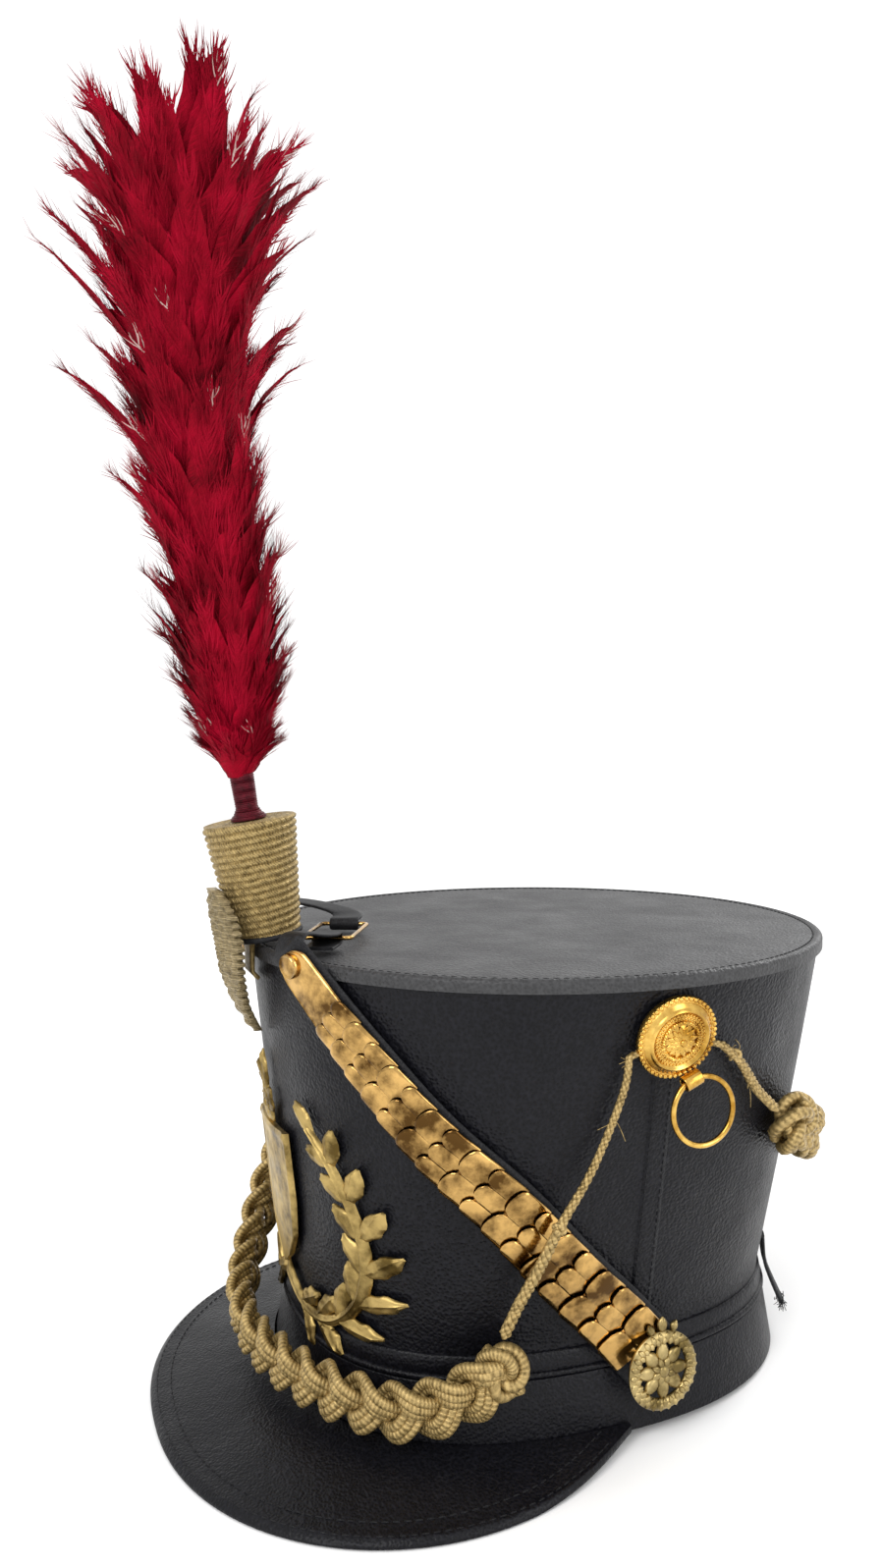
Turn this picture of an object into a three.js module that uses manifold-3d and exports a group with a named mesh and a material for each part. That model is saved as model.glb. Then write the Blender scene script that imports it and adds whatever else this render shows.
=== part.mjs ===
// A British style full dress shako: a stiff crown that widens upwards, with its bands, peak, chin
// scales, bosses with rings, plaited festoons, plate, cockade and plume.
// Millimetres, +Z up. The hat's front faces -Y, and the wearer's left is +X.
// It is built in the crown's own frame, whose base ring lies at z = 0, and is then laid at rest.
import * as THREE from 'three';
import { mergeVertices } from 'three/addons/utils/BufferGeometryUtils.js';
import Module from 'manifold-3d';

const wasm = await Module();
wasm.setup();

// ---- Driving dimensions ------------------------------------------------------------------------
const GAP = 0.3;                    // clearance between neighbouring pieces
const REST_TILT = 2.3;              // degrees that the crown leans back when the hat stands by itself

const AROUND = 48;                  // facets around the crown
const RIM_HEIGHT = 171;             // top of the crown's rim
const RIM_RADIUS = 120;
const RIM_CENTRE = 2;               // the round top's centre, along Y
const RIM_DROP = 5;                 // how far the top's turned edge hangs down the wall
const WALL_THICKNESS = 2.5;
const WALL_TOP = 167.2;

// The wall's outside is an oval in each level: half sizes, centre along Y and roundness
// (2 is an ellipse). It runs straight from one level to the next.
const WALL_LEVELS = [
  { z: 0, halfX: 84.4, halfY: 101.0, centre: -4.07, power: 2.43 },
  { z: 32, halfX: 81.7, halfY: 97.6, centre: -3.85, power: 2.43 },
  { z: 171, halfX: 119.0, halfY: 119.0, centre: 2.04, power: 2.0 },
];

const LOWER_BAND_HEIGHT = 23;
const LOWER_BAND_FOOT = 2.7;        // how far the wide band stands off the wall at its foot
const BAND_FACE = 1.4;              // and at its top
const UPPER_BAND_TOP = 32;
const PIPING = 2.3;

const PEAK_DEPTH = 49;
const PEAK_HALF_ANGLE = 91.4;       // degrees to each side of the front
const PEAK_THICKNESS = 2.5;
const PEAK_ROOT = 1.0;              // height of the peak's underside where it meets the band
const PEAK_MAX_SLOPE = 15.5;        // degrees

const SCALES_A_SIDE = 16;
const SCALE_THICKNESS = 0.8;
const SCALE_RISE = 0.13;            // each scale rises along the strap, to lie over the next one
const SCALE_LAP = 2.6;              // how far a lobe reaches past the next scale's root
const SCALE_BULGE = 1.0;            // the scales and their strap are crowned across
const FIRST_SCALE_AT = 10;          // distances along the strap from the roundel's centre
const FIRST_PITCH = 12.1;
const LAST_PITCH = 8.9;
const STRAP_THICKNESS = 1.2;
const STRAP_EDGE = 1.3;             // leather that shows past the scales

const BOSS = { angle: 90.3, height: 149.6, radius: 15.5, stand: 1.7 };
const CLIP_DISTANCE = 16.2;         // from the boss's centre to the ring's wire
const CLIP_TURN = 22;               // degrees, from straight down towards the back
const CLIP_LIFT = 4.6;              // the wire's height above the boss's foot
const RING = { radius: 11.8, wire: 1.0 };

const CUP_LEAN = 8.7;               // degrees that the plume cup leans forward
const CUP = { footY: -112, footZ: 173.4, height: 46.5, footRadius: 13, topRadius: 18.5, bore: 4.9, boreDepth: 14 };

const FESTOON_RADIUS = 8;
const CORD_RADIUS = 1.75;

// ---- Materials -----------------------------------------------------------------------------------
const COLOURS = {
  black_leather: { color: 0x1b1b1e, roughness: 0.5, metalness: 0 },
  brass: { color: 0xc2a05a, roughness: 0.3, metalness: 1 },
  gilt: { color: 0xd9ab3c, roughness: 0.25, metalness: 1 },
  gold_thread: { color: 0xa88c50, roughness: 0.6, metalness: 0.5 },
  feather: { color: 0x870022, roughness: 0.8, metalness: 0 },
};

const hat = new THREE.Group();

function addPiece(name, geometry, slot) {
  const mesh = new THREE.Mesh(outward(geometry), new THREE.MeshStandardMaterial(COLOURS[slot]));
  mesh.name = name;
  hat.add(mesh);
}

// ---- Geometry helpers ----------------------------------------------------------------------------
const radians = THREE.MathUtils.degToRad;
const lerp = THREE.MathUtils.lerp;
const vector = (x, y, z) => new THREE.Vector3(x, y, z);

// Closes a geometry: only positions are kept, and shared vertices become one.
function welded(geometry) {
  const bare = geometry.clone();
  for (const name of ['normal', 'uv', 'color']) {
    bare.deleteAttribute(name);
  }
  return mergeVertices(bare, 1e-3);
}

function signedVolume(geometry) {
  const position = geometry.attributes.position;
  const corner = [vector(), vector(), vector()];
  let volume = 0;
  for (let i = 0; i < geometry.index.count; i += 3) {
    corner.forEach((point, k) => point.fromBufferAttribute(position, geometry.index.getX(i + k)));
    volume += corner[0].dot(corner[1].clone().cross(corner[2])) / 6;
  }
  return volume;
}

// Turns a closed geometry's faces outwards, which mirroring and bending can reverse.
function outward(geometry) {
  const closed = welded(geometry);
  if (signedVolume(closed) < 0) {
    const index = closed.index;
    for (let i = 0; i < index.count; i += 3) {
      const first = index.getX(i);
      index.setX(i, index.getX(i + 1));
      index.setX(i + 1, first);
    }
  }
  return closed;
}

// Moves every vertex of a geometry to place(x, y, z).
function bent(geometry, place) {
  const position = geometry.attributes.position;
  for (let i = 0; i < position.count; i += 1) {
    const point = place(position.getX(i), position.getY(i), position.getZ(i));
    position.setXYZ(i, point.x, point.y, point.z);
  }
  return geometry;
}

function mirrored(geometry) {
  return geometry.clone().scale(-1, 1, 1);
}

function toSolid(geometry) {
  const closed = outward(geometry);
  return new wasm.Manifold(new wasm.Mesh({
    numProp: 3,
    vertProperties: new Float32Array(closed.attributes.position.array),
    triVerts: new Uint32Array(closed.index.array),
  }));
}

function toGeometry(solid) {
  const mesh = solid.getMesh();
  const geometry = new THREE.BufferGeometry();
  geometry.setAttribute('position', new THREE.BufferAttribute(mesh.vertProperties, 3));
  geometry.setIndex(new THREE.BufferAttribute(mesh.triVerts, 1));
  return geometry;
}

function joined(geometries) {
  return toGeometry(geometries.map(toSolid).reduce((whole, piece) => whole.add(piece)));
}

// Lathes a profile of [radius, height] rows about the Z axis.
function turned(profile, segments) {
  const points = profile.map(([radius, height]) => new THREE.Vector2(radius, height));
  return new THREE.LatheGeometry(points, segments).rotateX(Math.PI / 2);
}

// A plate whose outline is a list of [x, y] points, from z = 0 to the thickness.
function plate(points, thickness) {
  const outline = new THREE.Shape(points.map(([x, y]) => new THREE.Vector2(x, y)));
  return new THREE.ExtrudeGeometry(outline, { depth: thickness, bevelEnabled: false });
}

function circlePoints(radius, count, centreX = 0, centreY = 0) {
  return Array.from({ length: count }, (_, i) => {
    const turn = (2 * Math.PI * i) / count;
    return [centreX + radius * Math.cos(turn), centreY + radius * Math.sin(turn)];
  });
}

// ---- The crown's wall as a surface -----------------------------------------------------------------
function wallLevel(z) {
  const upper = z > WALL_LEVELS[1].z;
  const from = WALL_LEVELS[upper ? 1 : 0];
  const to = WALL_LEVELS[upper ? 2 : 1];
  const t = (z - from.z) / (to.z - from.z);
  return {
    halfX: lerp(from.halfX, to.halfX, t),
    halfY: lerp(from.halfY, to.halfY, t),
    centre: lerp(from.centre, to.centre, t),
    power: lerp(from.power, to.power, t),
  };
}

// A point beside the wall: the angle in degrees runs from the front towards the wearer's left, and
// stand is the distance off the wall, level and outwards.
function onWall(angle, z, stand = 0) {
  const { halfX, halfY, centre, power } = wallLevel(z);
  const sine = Math.sin(radians(angle));
  const cosine = Math.cos(radians(angle));
  const reach = (Math.abs(sine) ** power + Math.abs(cosine) ** power) ** (-1 / power);
  const across = (Math.sign(sine) * Math.abs(reach * sine) ** (power - 1)) / halfX;
  const along = (-Math.sign(cosine) * Math.abs(reach * cosine) ** (power - 1)) / halfY;
  const length = Math.hypot(across, along);
  return vector(
    halfX * reach * sine + (stand * across) / length,
    centre - halfY * reach * cosine + (stand * along) / length,
    z,
  );
}

// The wall's outward normal nearest a point.
function wallNormal(point) {
  const depth = (x, y, z) => {
    const { halfX, halfY, centre, power } = wallLevel(z);
    return (Math.abs(x) / halfX) ** power + (Math.abs(y - centre) / halfY) ** power;
  };
  const step = 0.1;
  const here = depth(point.x, point.y, point.z);
  return vector(
    depth(point.x + step, point.y, point.z) - here,
    depth(point.x, point.y + step, point.z) - here,
    depth(point.x, point.y, point.z + step) - here,
  ).normalize();
}

// A ring around the wall, from a closed profile of [stand, height] rows.
function wallRing(profile) {
  const lathed = turned(profile.map(([stand, z]) => [RIM_RADIUS + stand, z]), AROUND);
  return bent(lathed, (x, y, z) => {
    const angle = THREE.MathUtils.radToDeg(Math.atan2(x, -y));
    return onWall(angle, z, Math.hypot(x, y) - RIM_RADIUS);
  });
}

// ---- Crown, bands and peak -------------------------------------------------------------------------
function crownWall() {
  const foot = 1;
  const levels = [foot, UPPER_BAND_TOP, 75, 120, WALL_TOP];
  const profile = [
    ...levels.map((z) => [0, z]),
    ...levels.toReversed().map((z) => [-WALL_THICKNESS, z]),
    [0, foot],
  ];
  return joined([wallRing(profile), seamStrip(), mirrored(seamStrip())]);
}

// The strip sewn over the wall's side seam, 8 mm wide, which leans a little towards the front.
function seamStrip() {
  const box = new THREE.BoxGeometry(1, 1, 1, 2, 1, 6);
  return bent(box, (x, y, z) => {
    const height = lerp(UPPER_BAND_TOP + 0.6, WALL_TOP - 1.5, z + 0.5);
    const angle = lerp(95.2, 88.6, z + 0.5) + x * lerp(5.4, 4.0, z + 0.5);
    return onWall(angle, height, 0.1 + 1.1 * y);
  });
}

function crownTop() {
  const profile = [
    [0, WALL_TOP + 0.6],
    [RIM_RADIUS - 1.4, WALL_TOP + 0.6],
    [RIM_RADIUS - 1.2, RIM_HEIGHT - RIM_DROP],
    [RIM_RADIUS, RIM_HEIGHT - RIM_DROP],
    [RIM_RADIUS, RIM_HEIGHT - 0.8],
    [RIM_RADIUS - 0.8, RIM_HEIGHT],
    [RIM_RADIUS - 4, RIM_HEIGHT],
    [RIM_RADIUS - 4.6, RIM_HEIGHT - 0.7],
    [0, RIM_HEIGHT - 0.7],
  ];
  return turned(profile, AROUND).translate(0, RIM_CENTRE, 0);
}

function lowerBand() {
  return wallRing([
    [GAP, 0],
    [LOWER_BAND_FOOT, 0],
    [BAND_FACE, LOWER_BAND_HEIGHT],
    [GAP, LOWER_BAND_HEIGHT],
    [GAP, 0],
  ]);
}

function upperBand() {
  const foot = LOWER_BAND_HEIGHT + GAP;
  return wallRing([
    [GAP, foot],
    [PIPING - 0.4, foot],
    [PIPING, foot + 1],
    [PIPING - 0.4, foot + 2.1],
    [BAND_FACE, foot + 2.5],
    [BAND_FACE - 0.2, UPPER_BAND_TOP],
    [GAP, UPPER_BAND_TOP],
    [GAP, foot],
  ]);
}

// Height of the floor under a point, seen from the crown's leaning frame.
const FLOOR_SLOPE = Math.tan(radians(REST_TILT));
const HEEL = onWall(180, 0, LOWER_BAND_FOOT);
const floorHeight = (y) => (y - HEEL.y) * FLOOR_SLOPE;

function peak() {
  const box = new THREE.BoxGeometry(1, 1, 1, 40, 3, 1);
  const slope = Math.tan(radians(PEAK_MAX_SLOPE));
  return bent(box, (x, y, z) => {
    const turn = 2 * x;
    const depth = 1.5 + PEAK_DEPTH * (1 - Math.abs(turn) ** 2.52) ** 1.1;
    const angle = turn * PEAK_HALF_ANGLE;
    const out = 0.5 - y;
    const edge = onWall(angle, 0, LOWER_BAND_FOOT + GAP + depth);
    const edgeHeight = Math.max(floorHeight(edge.y), PEAK_ROOT - depth * slope);
    const height = lerp(PEAK_ROOT, edgeHeight, out) + (z + 0.5) * PEAK_THICKNESS;
    const foot = onWall(angle, 0, LOWER_BAND_FOOT + GAP + depth * out);
    return vector(foot.x, foot.y, height);
  });
}

// ---- Ribbons ---------------------------------------------------------------------------------------
// A flat strap through stations { point, facing, width, bulge }: facing is the way its outer face
// looks, and bulge is how much lower its edges lie than its middle.
function ribbon(stations, thickness) {
  const last = stations.length - 1;
  const box = new THREE.BoxGeometry(1, 1, 1, 2, 1, last);
  return bent(box, (x, y, z) => {
    const i = Math.round((z + 0.5) * last);
    const { point, facing, width, bulge = 0 } = stations[i];
    const tangent = stations[Math.min(i + 1, last)].point.clone().sub(stations[Math.max(i - 1, 0)].point);
    const across = tangent.clone().cross(facing).normalize();
    const normal = across.clone().cross(tangent).normalize();
    const lift = y * thickness - bulge * 4 * x * x;
    return point.clone().addScaledVector(across, x * width).addScaledVector(normal, lift);
  });
}

// The loose end of the strap that is sewn in behind, hanging at the back, left of the middle.
function backTab() {
  const route = new THREE.CatmullRomCurve3([
    onWall(149, 41, 1.5),
    onWall(149.5, 30, 4),
    onWall(150, 22, 6),
    onWall(151, 13, 9),
  ]);
  const facing = vector(0.48, 0.88, 0);
  const stations = route.getPoints(8).map((point) => ({ point, facing, width: 8 }));
  return ribbon(stations, 1.3);
}

// ---- Chin straps and scales ------------------------------------------------------------------------
// The left chin strap's middle line, from the roundel up to the crown's front edge.
const STRAP_ROUTE = [
  { angle: 97.0, z: 23, stand: 6.6 },
  { angle: 88.1, z: 41, stand: 5.0 },
  { angle: 78.7, z: 58, stand: 3.5 },
  { angle: 63.9, z: 89, stand: 3.4 },
  { angle: 49.6, z: 115, stand: 3.2 },
  { angle: 36.4, z: 142, stand: 3.3 },
  { angle: 20.6, z: 172, stand: 4.2 },
];
const strapCurve = new THREE.CatmullRomCurve3(STRAP_ROUTE.map(({ angle, z, stand }) => onWall(angle, z, stand)));
const strapLength = strapCurve.getLength();

// Width of the scales at a distance along the strap from the roundel's centre.
function scaleWidth(distance) {
  const t = THREE.MathUtils.clamp(distance / strapLength, 0, 1);
  return lerp(24, 18, t ** 1.5);
}

// A point of the strap's surface: across is measured towards the top of the hat.
function strapFrame(distance) {
  const t = THREE.MathUtils.clamp(distance / strapLength, 0, 1);
  const point = strapCurve.getPointAt(t);
  const tangent = strapCurve.getTangentAt(t);
  const facing = wallNormal(vector(point.x, point.y, Math.max(point.z, UPPER_BAND_TOP + 1)));
  const across = tangent.clone().cross(facing).normalize();
  return { point, tangent, across, normal: across.clone().cross(tangent) };
}

function strapPoint(distance, across, lift) {
  const frame = strapFrame(distance);
  const bulge = SCALE_BULGE * ((2 * across) / scaleWidth(distance)) ** 2;
  const outside = distance - strapLength * THREE.MathUtils.clamp(distance / strapLength, 0, 1);
  return frame.point
    .addScaledVector(frame.tangent, outside)
    .addScaledVector(frame.across, across)
    .addScaledVector(frame.normal, lift - bulge);
}

// The outline of one scale in its own plane: a straight root, and a free edge with round lobes.
function scaleOutline(halfWidth, pitch, lobes) {
  const points = [];
  const rootSteps = 6;
  for (let i = 0; i <= rootSteps; i += 1) {
    points.push([lerp(-halfWidth, halfWidth, i / rootSteps), 0]);
  }
  const arcSteps = 4;
  const lobe = halfWidth / lobes;
  for (let k = lobes - 1; k >= 0; k -= 1) {
    const middle = -halfWidth + (2 * k + 1) * lobe;
    for (let i = k === lobes - 1 ? 0 : 1; i <= arcSteps; i += 1) {
      const turn = (Math.PI * i) / arcSteps;
      points.push([middle + lobe * Math.cos(turn), pitch - 0.6 + (SCALE_LAP + 0.6) * Math.sin(turn)]);
    }
  }
  return points;
}

const SCALE_LIFT = STRAP_THICKNESS / 2 + 2 * GAP;

function scaleAt(index) {
  let start = FIRST_SCALE_AT;
  let pitch = FIRST_PITCH;
  for (let i = 0; i < index; i += 1) {
    start += pitch;
    pitch = lerp(FIRST_PITCH, LAST_PITCH, (i + 1) / (SCALES_A_SIDE - 1));
  }
  return { start, pitch };
}

function scale(index) {
  const { start, pitch } = scaleAt(index);
  const lobes = index % 2 === 0 ? 2 : 3;
  const halfWidth = scaleWidth(start + pitch / 2) / 2;
  const outline = plate(scaleOutline(halfWidth, pitch, lobes), SCALE_THICKNESS);
  return bent(outline, (x, y, z) => strapPoint(start + y, x, SCALE_LIFT + z + SCALE_RISE * y));
}

// The plain plate at the strap's top end, with its round stud.
function endPlate() {
  const last = scaleAt(SCALES_A_SIDE - 1);
  const start = last.start + last.pitch;
  const length = strapLength + 1.5 - start;
  const halfWidth = scaleWidth(strapLength) / 2 - 0.2;
  const points = [[-halfWidth, 0], [0, 0], [halfWidth, 0], [halfWidth, length / 2]];
  const corner = halfWidth - 1;
  for (let i = 0; i <= 8; i += 1) {
    const turn = (Math.PI * i) / 8;
    points.push([halfWidth * Math.cos(turn), length - corner + corner * Math.sin(turn)]);
  }
  points.push([-halfWidth, length / 2]);
  const sheet = bent(plate(points, 0.6), (x, y, z) => strapPoint(start + y, x, SCALE_LIFT + 0.45 + z));
  const stud = turned([[0, 0], [4.5, 0], [4.5, 1.8], [3.6, 2.2], [3.2, 1.8], [0, 1.8]], 16);
  const seat = strapFrame(strapLength - 3);
  stud.applyMatrix4(new THREE.Matrix4().makeBasis(seat.across, seat.tangent, seat.normal));
  const foot = seat.point.clone().addScaledVector(seat.normal, SCALE_LIFT + 0.4);
  return joined([sheet, stud.translate(foot.x, foot.y, foot.z)]);
}

// The strap ends turn over the crown's rim and are joined behind the cup by a flat wire loop.
const LOOP = { centre: vector(10, -87, 175), halfLength: 17, halfWidth: 9.5, wire: 0.9, turn: -28 };
const LOOP_LONG = vector(Math.cos(radians(LOOP.turn)), Math.sin(radians(LOOP.turn)), 0);
const LOOP_WIDE = vector(-LOOP_LONG.y, LOOP_LONG.x, 0);
const FOLD_RADIUS = 1.95;
const TONGUE_WIDTH = 12;

// Stations of a strap end that comes to one bar of the loop, folds round it and runs back under.
// Side is 1 for the bar on the wearer's left and -1 for the other.
function foldStations(side, backLength) {
  const bar = LOOP.centre.clone().addScaledVector(LOOP_LONG, side * LOOP.halfLength);
  const away = (along, up) => LOOP_LONG.clone().multiplyScalar(side * along).add(vector(0, 0, up));
  const station = (along, up, facing) => ({ point: away(along, up).add(bar), facing, width: TONGUE_WIDTH });
  const stations = [station(6, FOLD_RADIUS + 0.3, away(0, 1))];
  for (let i = 0; i <= 6; i += 1) {
    const turn = (Math.PI * i) / 6;
    const facing = away(-Math.sin(turn), Math.cos(turn));
    stations.push(station(-FOLD_RADIUS * Math.sin(turn), FOLD_RADIUS * Math.cos(turn), facing));
  }
  stations.push(station(backLength / 2, 0.1 - FOLD_RADIUS, away(0, -1)));
  stations.push(station(backLength, 0.4 - FOLD_RADIUS, away(0, -1)));
  return stations;
}

function strapStations() {
  const count = 22;
  return Array.from({ length: count + 1 }, (_, i) => {
    const distance = lerp(-2, strapLength + 3, i / count);
    return {
      point: strapPoint(distance, STRAP_EDGE / 2, 0),
      facing: strapFrame(distance).normal,
      width: scaleWidth(distance) + STRAP_EDGE,
      bulge: SCALE_BULGE,
    };
  });
}

// Stations from [x, y, z, turn, width] rows, whose facing turns from the wall's (0) to upright (1).
function bridgeStations(rows, wallFacing) {
  return rows.map(([x, y, z, turn, width]) => (
    {
      point: vector(x, y, z),
      facing: wallFacing.clone().lerp(vector(0, 0, 1), turn),
      width,
      bulge: SCALE_BULGE * (1 - turn),
    }
  ));
}

function chinStrapLeft() {
  const up = strapStations();
  const over = bridgeStations([
    [40.2, -113.4, 176.6, 0.3, 15],
    [37.8, -110.4, 179.2, 0.75, TONGUE_WIDTH],
    [33.5, -104.8, 178.6, 1, TONGUE_WIDTH],
  ], up.at(-1).facing);
  return ribbon([...up, ...over, ...foldStations(1, 15)], STRAP_THICKNESS);
}

function chinStrapRight() {
  const flip = ({ x, y, z }) => vector(-x, y, z);
  const up = strapStations().map(({ point, facing, ...sizes }) => (
    { point: flip(point), facing: flip(facing), ...sizes }
  ));
  const over = bridgeStations([
    [-40.6, -113.4, 176.6, 0.3, 15],
    [-40.0, -110, 179.6, 0.75, TONGUE_WIDTH],
    [-36, -98, 181.8, 1, TONGUE_WIDTH],
    [-27, -85, 180.6, 1, TONGUE_WIDTH],
    [-16, -76.5, 178.2, 1, TONGUE_WIDTH],
  ], up.at(-1).facing);
  return ribbon([...up, ...over, ...foldStations(-1, 9)], STRAP_THICKNESS);
}

function wireLoop() {
  const frame = (halfLength, halfWidth) => [
    [-halfLength, -halfWidth], [halfLength, -halfWidth], [halfLength, halfWidth], [-halfLength, halfWidth],
  ];
  const outer = new THREE.Shape(frame(LOOP.halfLength + LOOP.wire, LOOP.halfWidth + LOOP.wire)
    .map(([x, y]) => new THREE.Vector2(x, y)));
  outer.holes.push(new THREE.Path(frame(LOOP.halfLength - LOOP.wire, LOOP.halfWidth - LOOP.wire)
    .map(([x, y]) => new THREE.Vector2(x, y))));
  const geometry = new THREE.ExtrudeGeometry(outer, { depth: 1.4, bevelEnabled: false });
  return geometry.translate(0, 0, -0.7).rotateZ(radians(LOOP.turn))
    .translate(LOOP.centre.x, LOOP.centre.y, LOOP.centre.z);
}

// ---- Side boss, its ring, and the roundel over the scales' lower end --------------------------------
// A frame on the wall: X towards the back, Y up, Z outwards. Its Y leans with the wall or is upright.
function wallBasis(angle, z, stand, upright = false) {
  const foot = onWall(angle, z, 0);
  const normal = wallNormal(foot).multiply(vector(1, 1, upright ? 0 : 1)).normalize();
  const up = vector(0, 0, 1).addScaledVector(normal, -normal.z).normalize();
  return new THREE.Matrix4()
    .makeBasis(up.clone().cross(normal), up, normal)
    .setPosition(foot.addScaledVector(normal, stand));
}

const bossBasis = wallBasis(BOSS.angle, BOSS.height, BOSS.stand);
const clipPoint = vector(
  CLIP_DISTANCE * Math.sin(radians(CLIP_TURN)),
  -CLIP_DISTANCE * Math.cos(radians(CLIP_TURN)),
  CLIP_LIFT,
).applyMatrix4(bossBasis);
const ringTurn = radians(CLIP_TURN);

function sideBoss() {
  const profile = [[0, 0], [BOSS.radius, 0], [BOSS.radius, 2.2], [12.6, 2.4], [11.2, 4], [7.6, 4], [5.4, 5.2], [0, 6]];
  const disc = turned(profile, 24).applyMatrix4(bossBasis);
  const fold = new THREE.Shape(circlePoints(2.7, 12).map(([x, y]) => new THREE.Vector2(x, y)));
  fold.holes.push(new THREE.Path(circlePoints(1.95, 12).map(([x, y]) => new THREE.Vector2(x, y))));
  const width = 7;
  const clip = new THREE.ExtrudeGeometry(fold, { depth: width, bevelEnabled: false })
    .translate(0, 0, -width / 2)
    .rotateX(-Math.PI / 2)
    .rotateX(ringTurn)
    .translate(clipPoint.x, clipPoint.y, clipPoint.z);
  return joined([disc, clip]);
}

// The ring hangs in an upright plane from the clip, its middle a little towards the back.
function bossRing() {
  return new THREE.TorusGeometry(RING.radius, RING.wire, 8, 24)
    .rotateY(Math.PI / 2)
    .translate(
      clipPoint.x,
      clipPoint.y + RING.radius * Math.sin(ringTurn),
      clipPoint.z - RING.radius * Math.cos(ringTurn),
    );
}

function scaleRoundel() {
  const thickness = 2;
  const disc = new THREE.Shape(circlePoints(14, 24).map(([x, y]) => new THREE.Vector2(x, y)));
  const petals = 8;
  for (let i = 0; i < petals; i += 1) {
    const turn = (2 * Math.PI * (i + 0.5)) / petals;
    const hole = circlePoints(2, 6, 8.4 * Math.cos(turn), 8.4 * Math.sin(turn));
    disc.holes.push(new THREE.Path(hole.map(([x, y]) => new THREE.Vector2(x, y))));
  }
  const wreath = new THREE.ExtrudeGeometry(disc, { depth: thickness, bevelEnabled: false });
  const lobes = [[-3.6, 14.0, 2.4], [0, 15.6, 2.8], [3.6, 14.0, 2.4]].map(([x, y, radius]) => (
    plate(circlePoints(radius, 10, x, y), thickness)
  ));
  return joined([wreath, ...lobes]).applyMatrix4(wallBasis(97, 23.5, 10.8, true));
}

// ---- Plate ------------------------------------------------------------------------------------------
// A stroke of changing width through [x, z, width] rows, seen from the front.
function stroke(rows) {
  const line = new THREE.CatmullRomCurve3(rows.map(([x, z]) => vector(x, z, 0)));
  const widths = new THREE.CatmullRomCurve3(rows.map(([, , width], i) => vector(width, i, 0)));
  const steps = (rows.length - 1) * 2;
  const left = [];
  const right = [];
  for (let i = 0; i <= steps; i += 1) {
    const point = line.getPoint(i / steps);
    const tangent = line.getTangent(i / steps);
    const half = widths.getPoint(i / steps).x / 2;
    left.push([point.x - tangent.y * half, point.y + tangent.x * half]);
    right.unshift([point.x + tangent.y * half, point.y - tangent.x * half]);
  }
  return plate([...left, ...right], 90);
}

// A laurel branch curves up each side of a blank shield, with its leaves in pairs.
const BRANCH = [
  [0, 42, 7], [18, 35, 5], [38, 36, 4.5], [52, 47, 4], [58, 64, 3.5], [56, 83, 3], [48, 99, 2.5], [38, 110, 1.6],
];
const LEAF_PAIRS = 8;
const LEAF_TURN = 40;               // degrees from the branch
const LEAF_LENGTH = [18, 13];       // of the first leaf and the last
const LEAF_WIDTHS = [[0, 2], [0.3, 7], [0.65, 7.5], [1, 1.2]];

function laurelBranch() {
  const line = new THREE.CatmullRomCurve3(BRANCH.map(([x, z]) => vector(x, z, 0)));
  const strokes = [stroke(BRANCH)];
  for (let pair = 0; pair <= LEAF_PAIRS; pair += 1) {
    const share = lerp(0.14, 0.97, pair / LEAF_PAIRS);
    const root = line.getPointAt(share);
    const length = lerp(...LEAF_LENGTH, share);
    for (const side of pair === LEAF_PAIRS ? [0] : [-1, 1]) {
      const way = line.getTangentAt(share).applyAxisAngle(vector(0, 0, 1), side * radians(LEAF_TURN));
      strokes.push(stroke(LEAF_WIDTHS.map(([along, width]) => (
        [root.x + way.x * along * length, root.y + way.y * along * length, width]
      ))));
    }
  }
  return strokes;
}

const SHIELD = [[0, 44], [10, 50], [18, 60], [21, 74], [21, 101], [-21, 101], [-21, 74], [-18, 60], [-10, 50]];
const ROSETTE = { z: 108, radius: 9 };
const TOP_LEAF = [[0, 112, 4], [0, 118, 7], [0, 124, 6], [0, 129, 1.2]];

function crestPlate() {
  const leaves = laurelBranch().flatMap((leaf) => [leaf, mirrored(leaf)]);
  const rosette = plate(circlePoints(ROSETTE.radius, 20, 0, ROSETTE.z), 90);
  const outline = joined([plate(SHIELD, 90), rosette, stroke(TOP_LEAF), ...leaves])
    .rotateX(Math.PI / 2)
    .translate(0, -55, 0);
  const sheet = wallRing([[2.0, 20], [3.6, 20], [3.6, 135], [2.0, 135], [2.0, 20]]);
  return toGeometry(toSolid(outline).intersect(toSolid(sheet)));
}

// ---- Cockade, cup and plume ----------------------------------------------------------------------------
// The cockade's front along the middle, and its half width, at each height.
const COCKADE = [
  { z: 136, front: -117.6, halfWidth: 0.8 },
  { z: 148, front: -125, halfWidth: 9 },
  { z: 160, front: -129.4, halfWidth: 14.5 },
  { z: 172, front: -131.4, halfWidth: 17.5 },
  { z: 183, front: -133.4, halfWidth: 17 },
  { z: 190, front: -134.2, halfWidth: 12 },
  { z: 193, front: -134.5, halfWidth: 5 },
];

function cockade() {
  const last = COCKADE.length - 1;
  const box = new THREE.BoxGeometry(1, 1, 1, 4, 1, last);
  return bent(box, (x, y, z) => {
    const row = COCKADE[Math.round((z + 0.5) * last)];
    const sideways = 2 * x * row.halfWidth;
    return vector(sideways, row.front + 3 * (y + 0.5) + 0.011 * sideways * sideways, row.z);
  });
}

// The cup's own frame: Z runs up its leaning axis from the middle of its foot.
function onCup(geometry) {
  return geometry.rotateX(radians(CUP_LEAN)).translate(0, CUP.footY, CUP.footZ);
}

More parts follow.
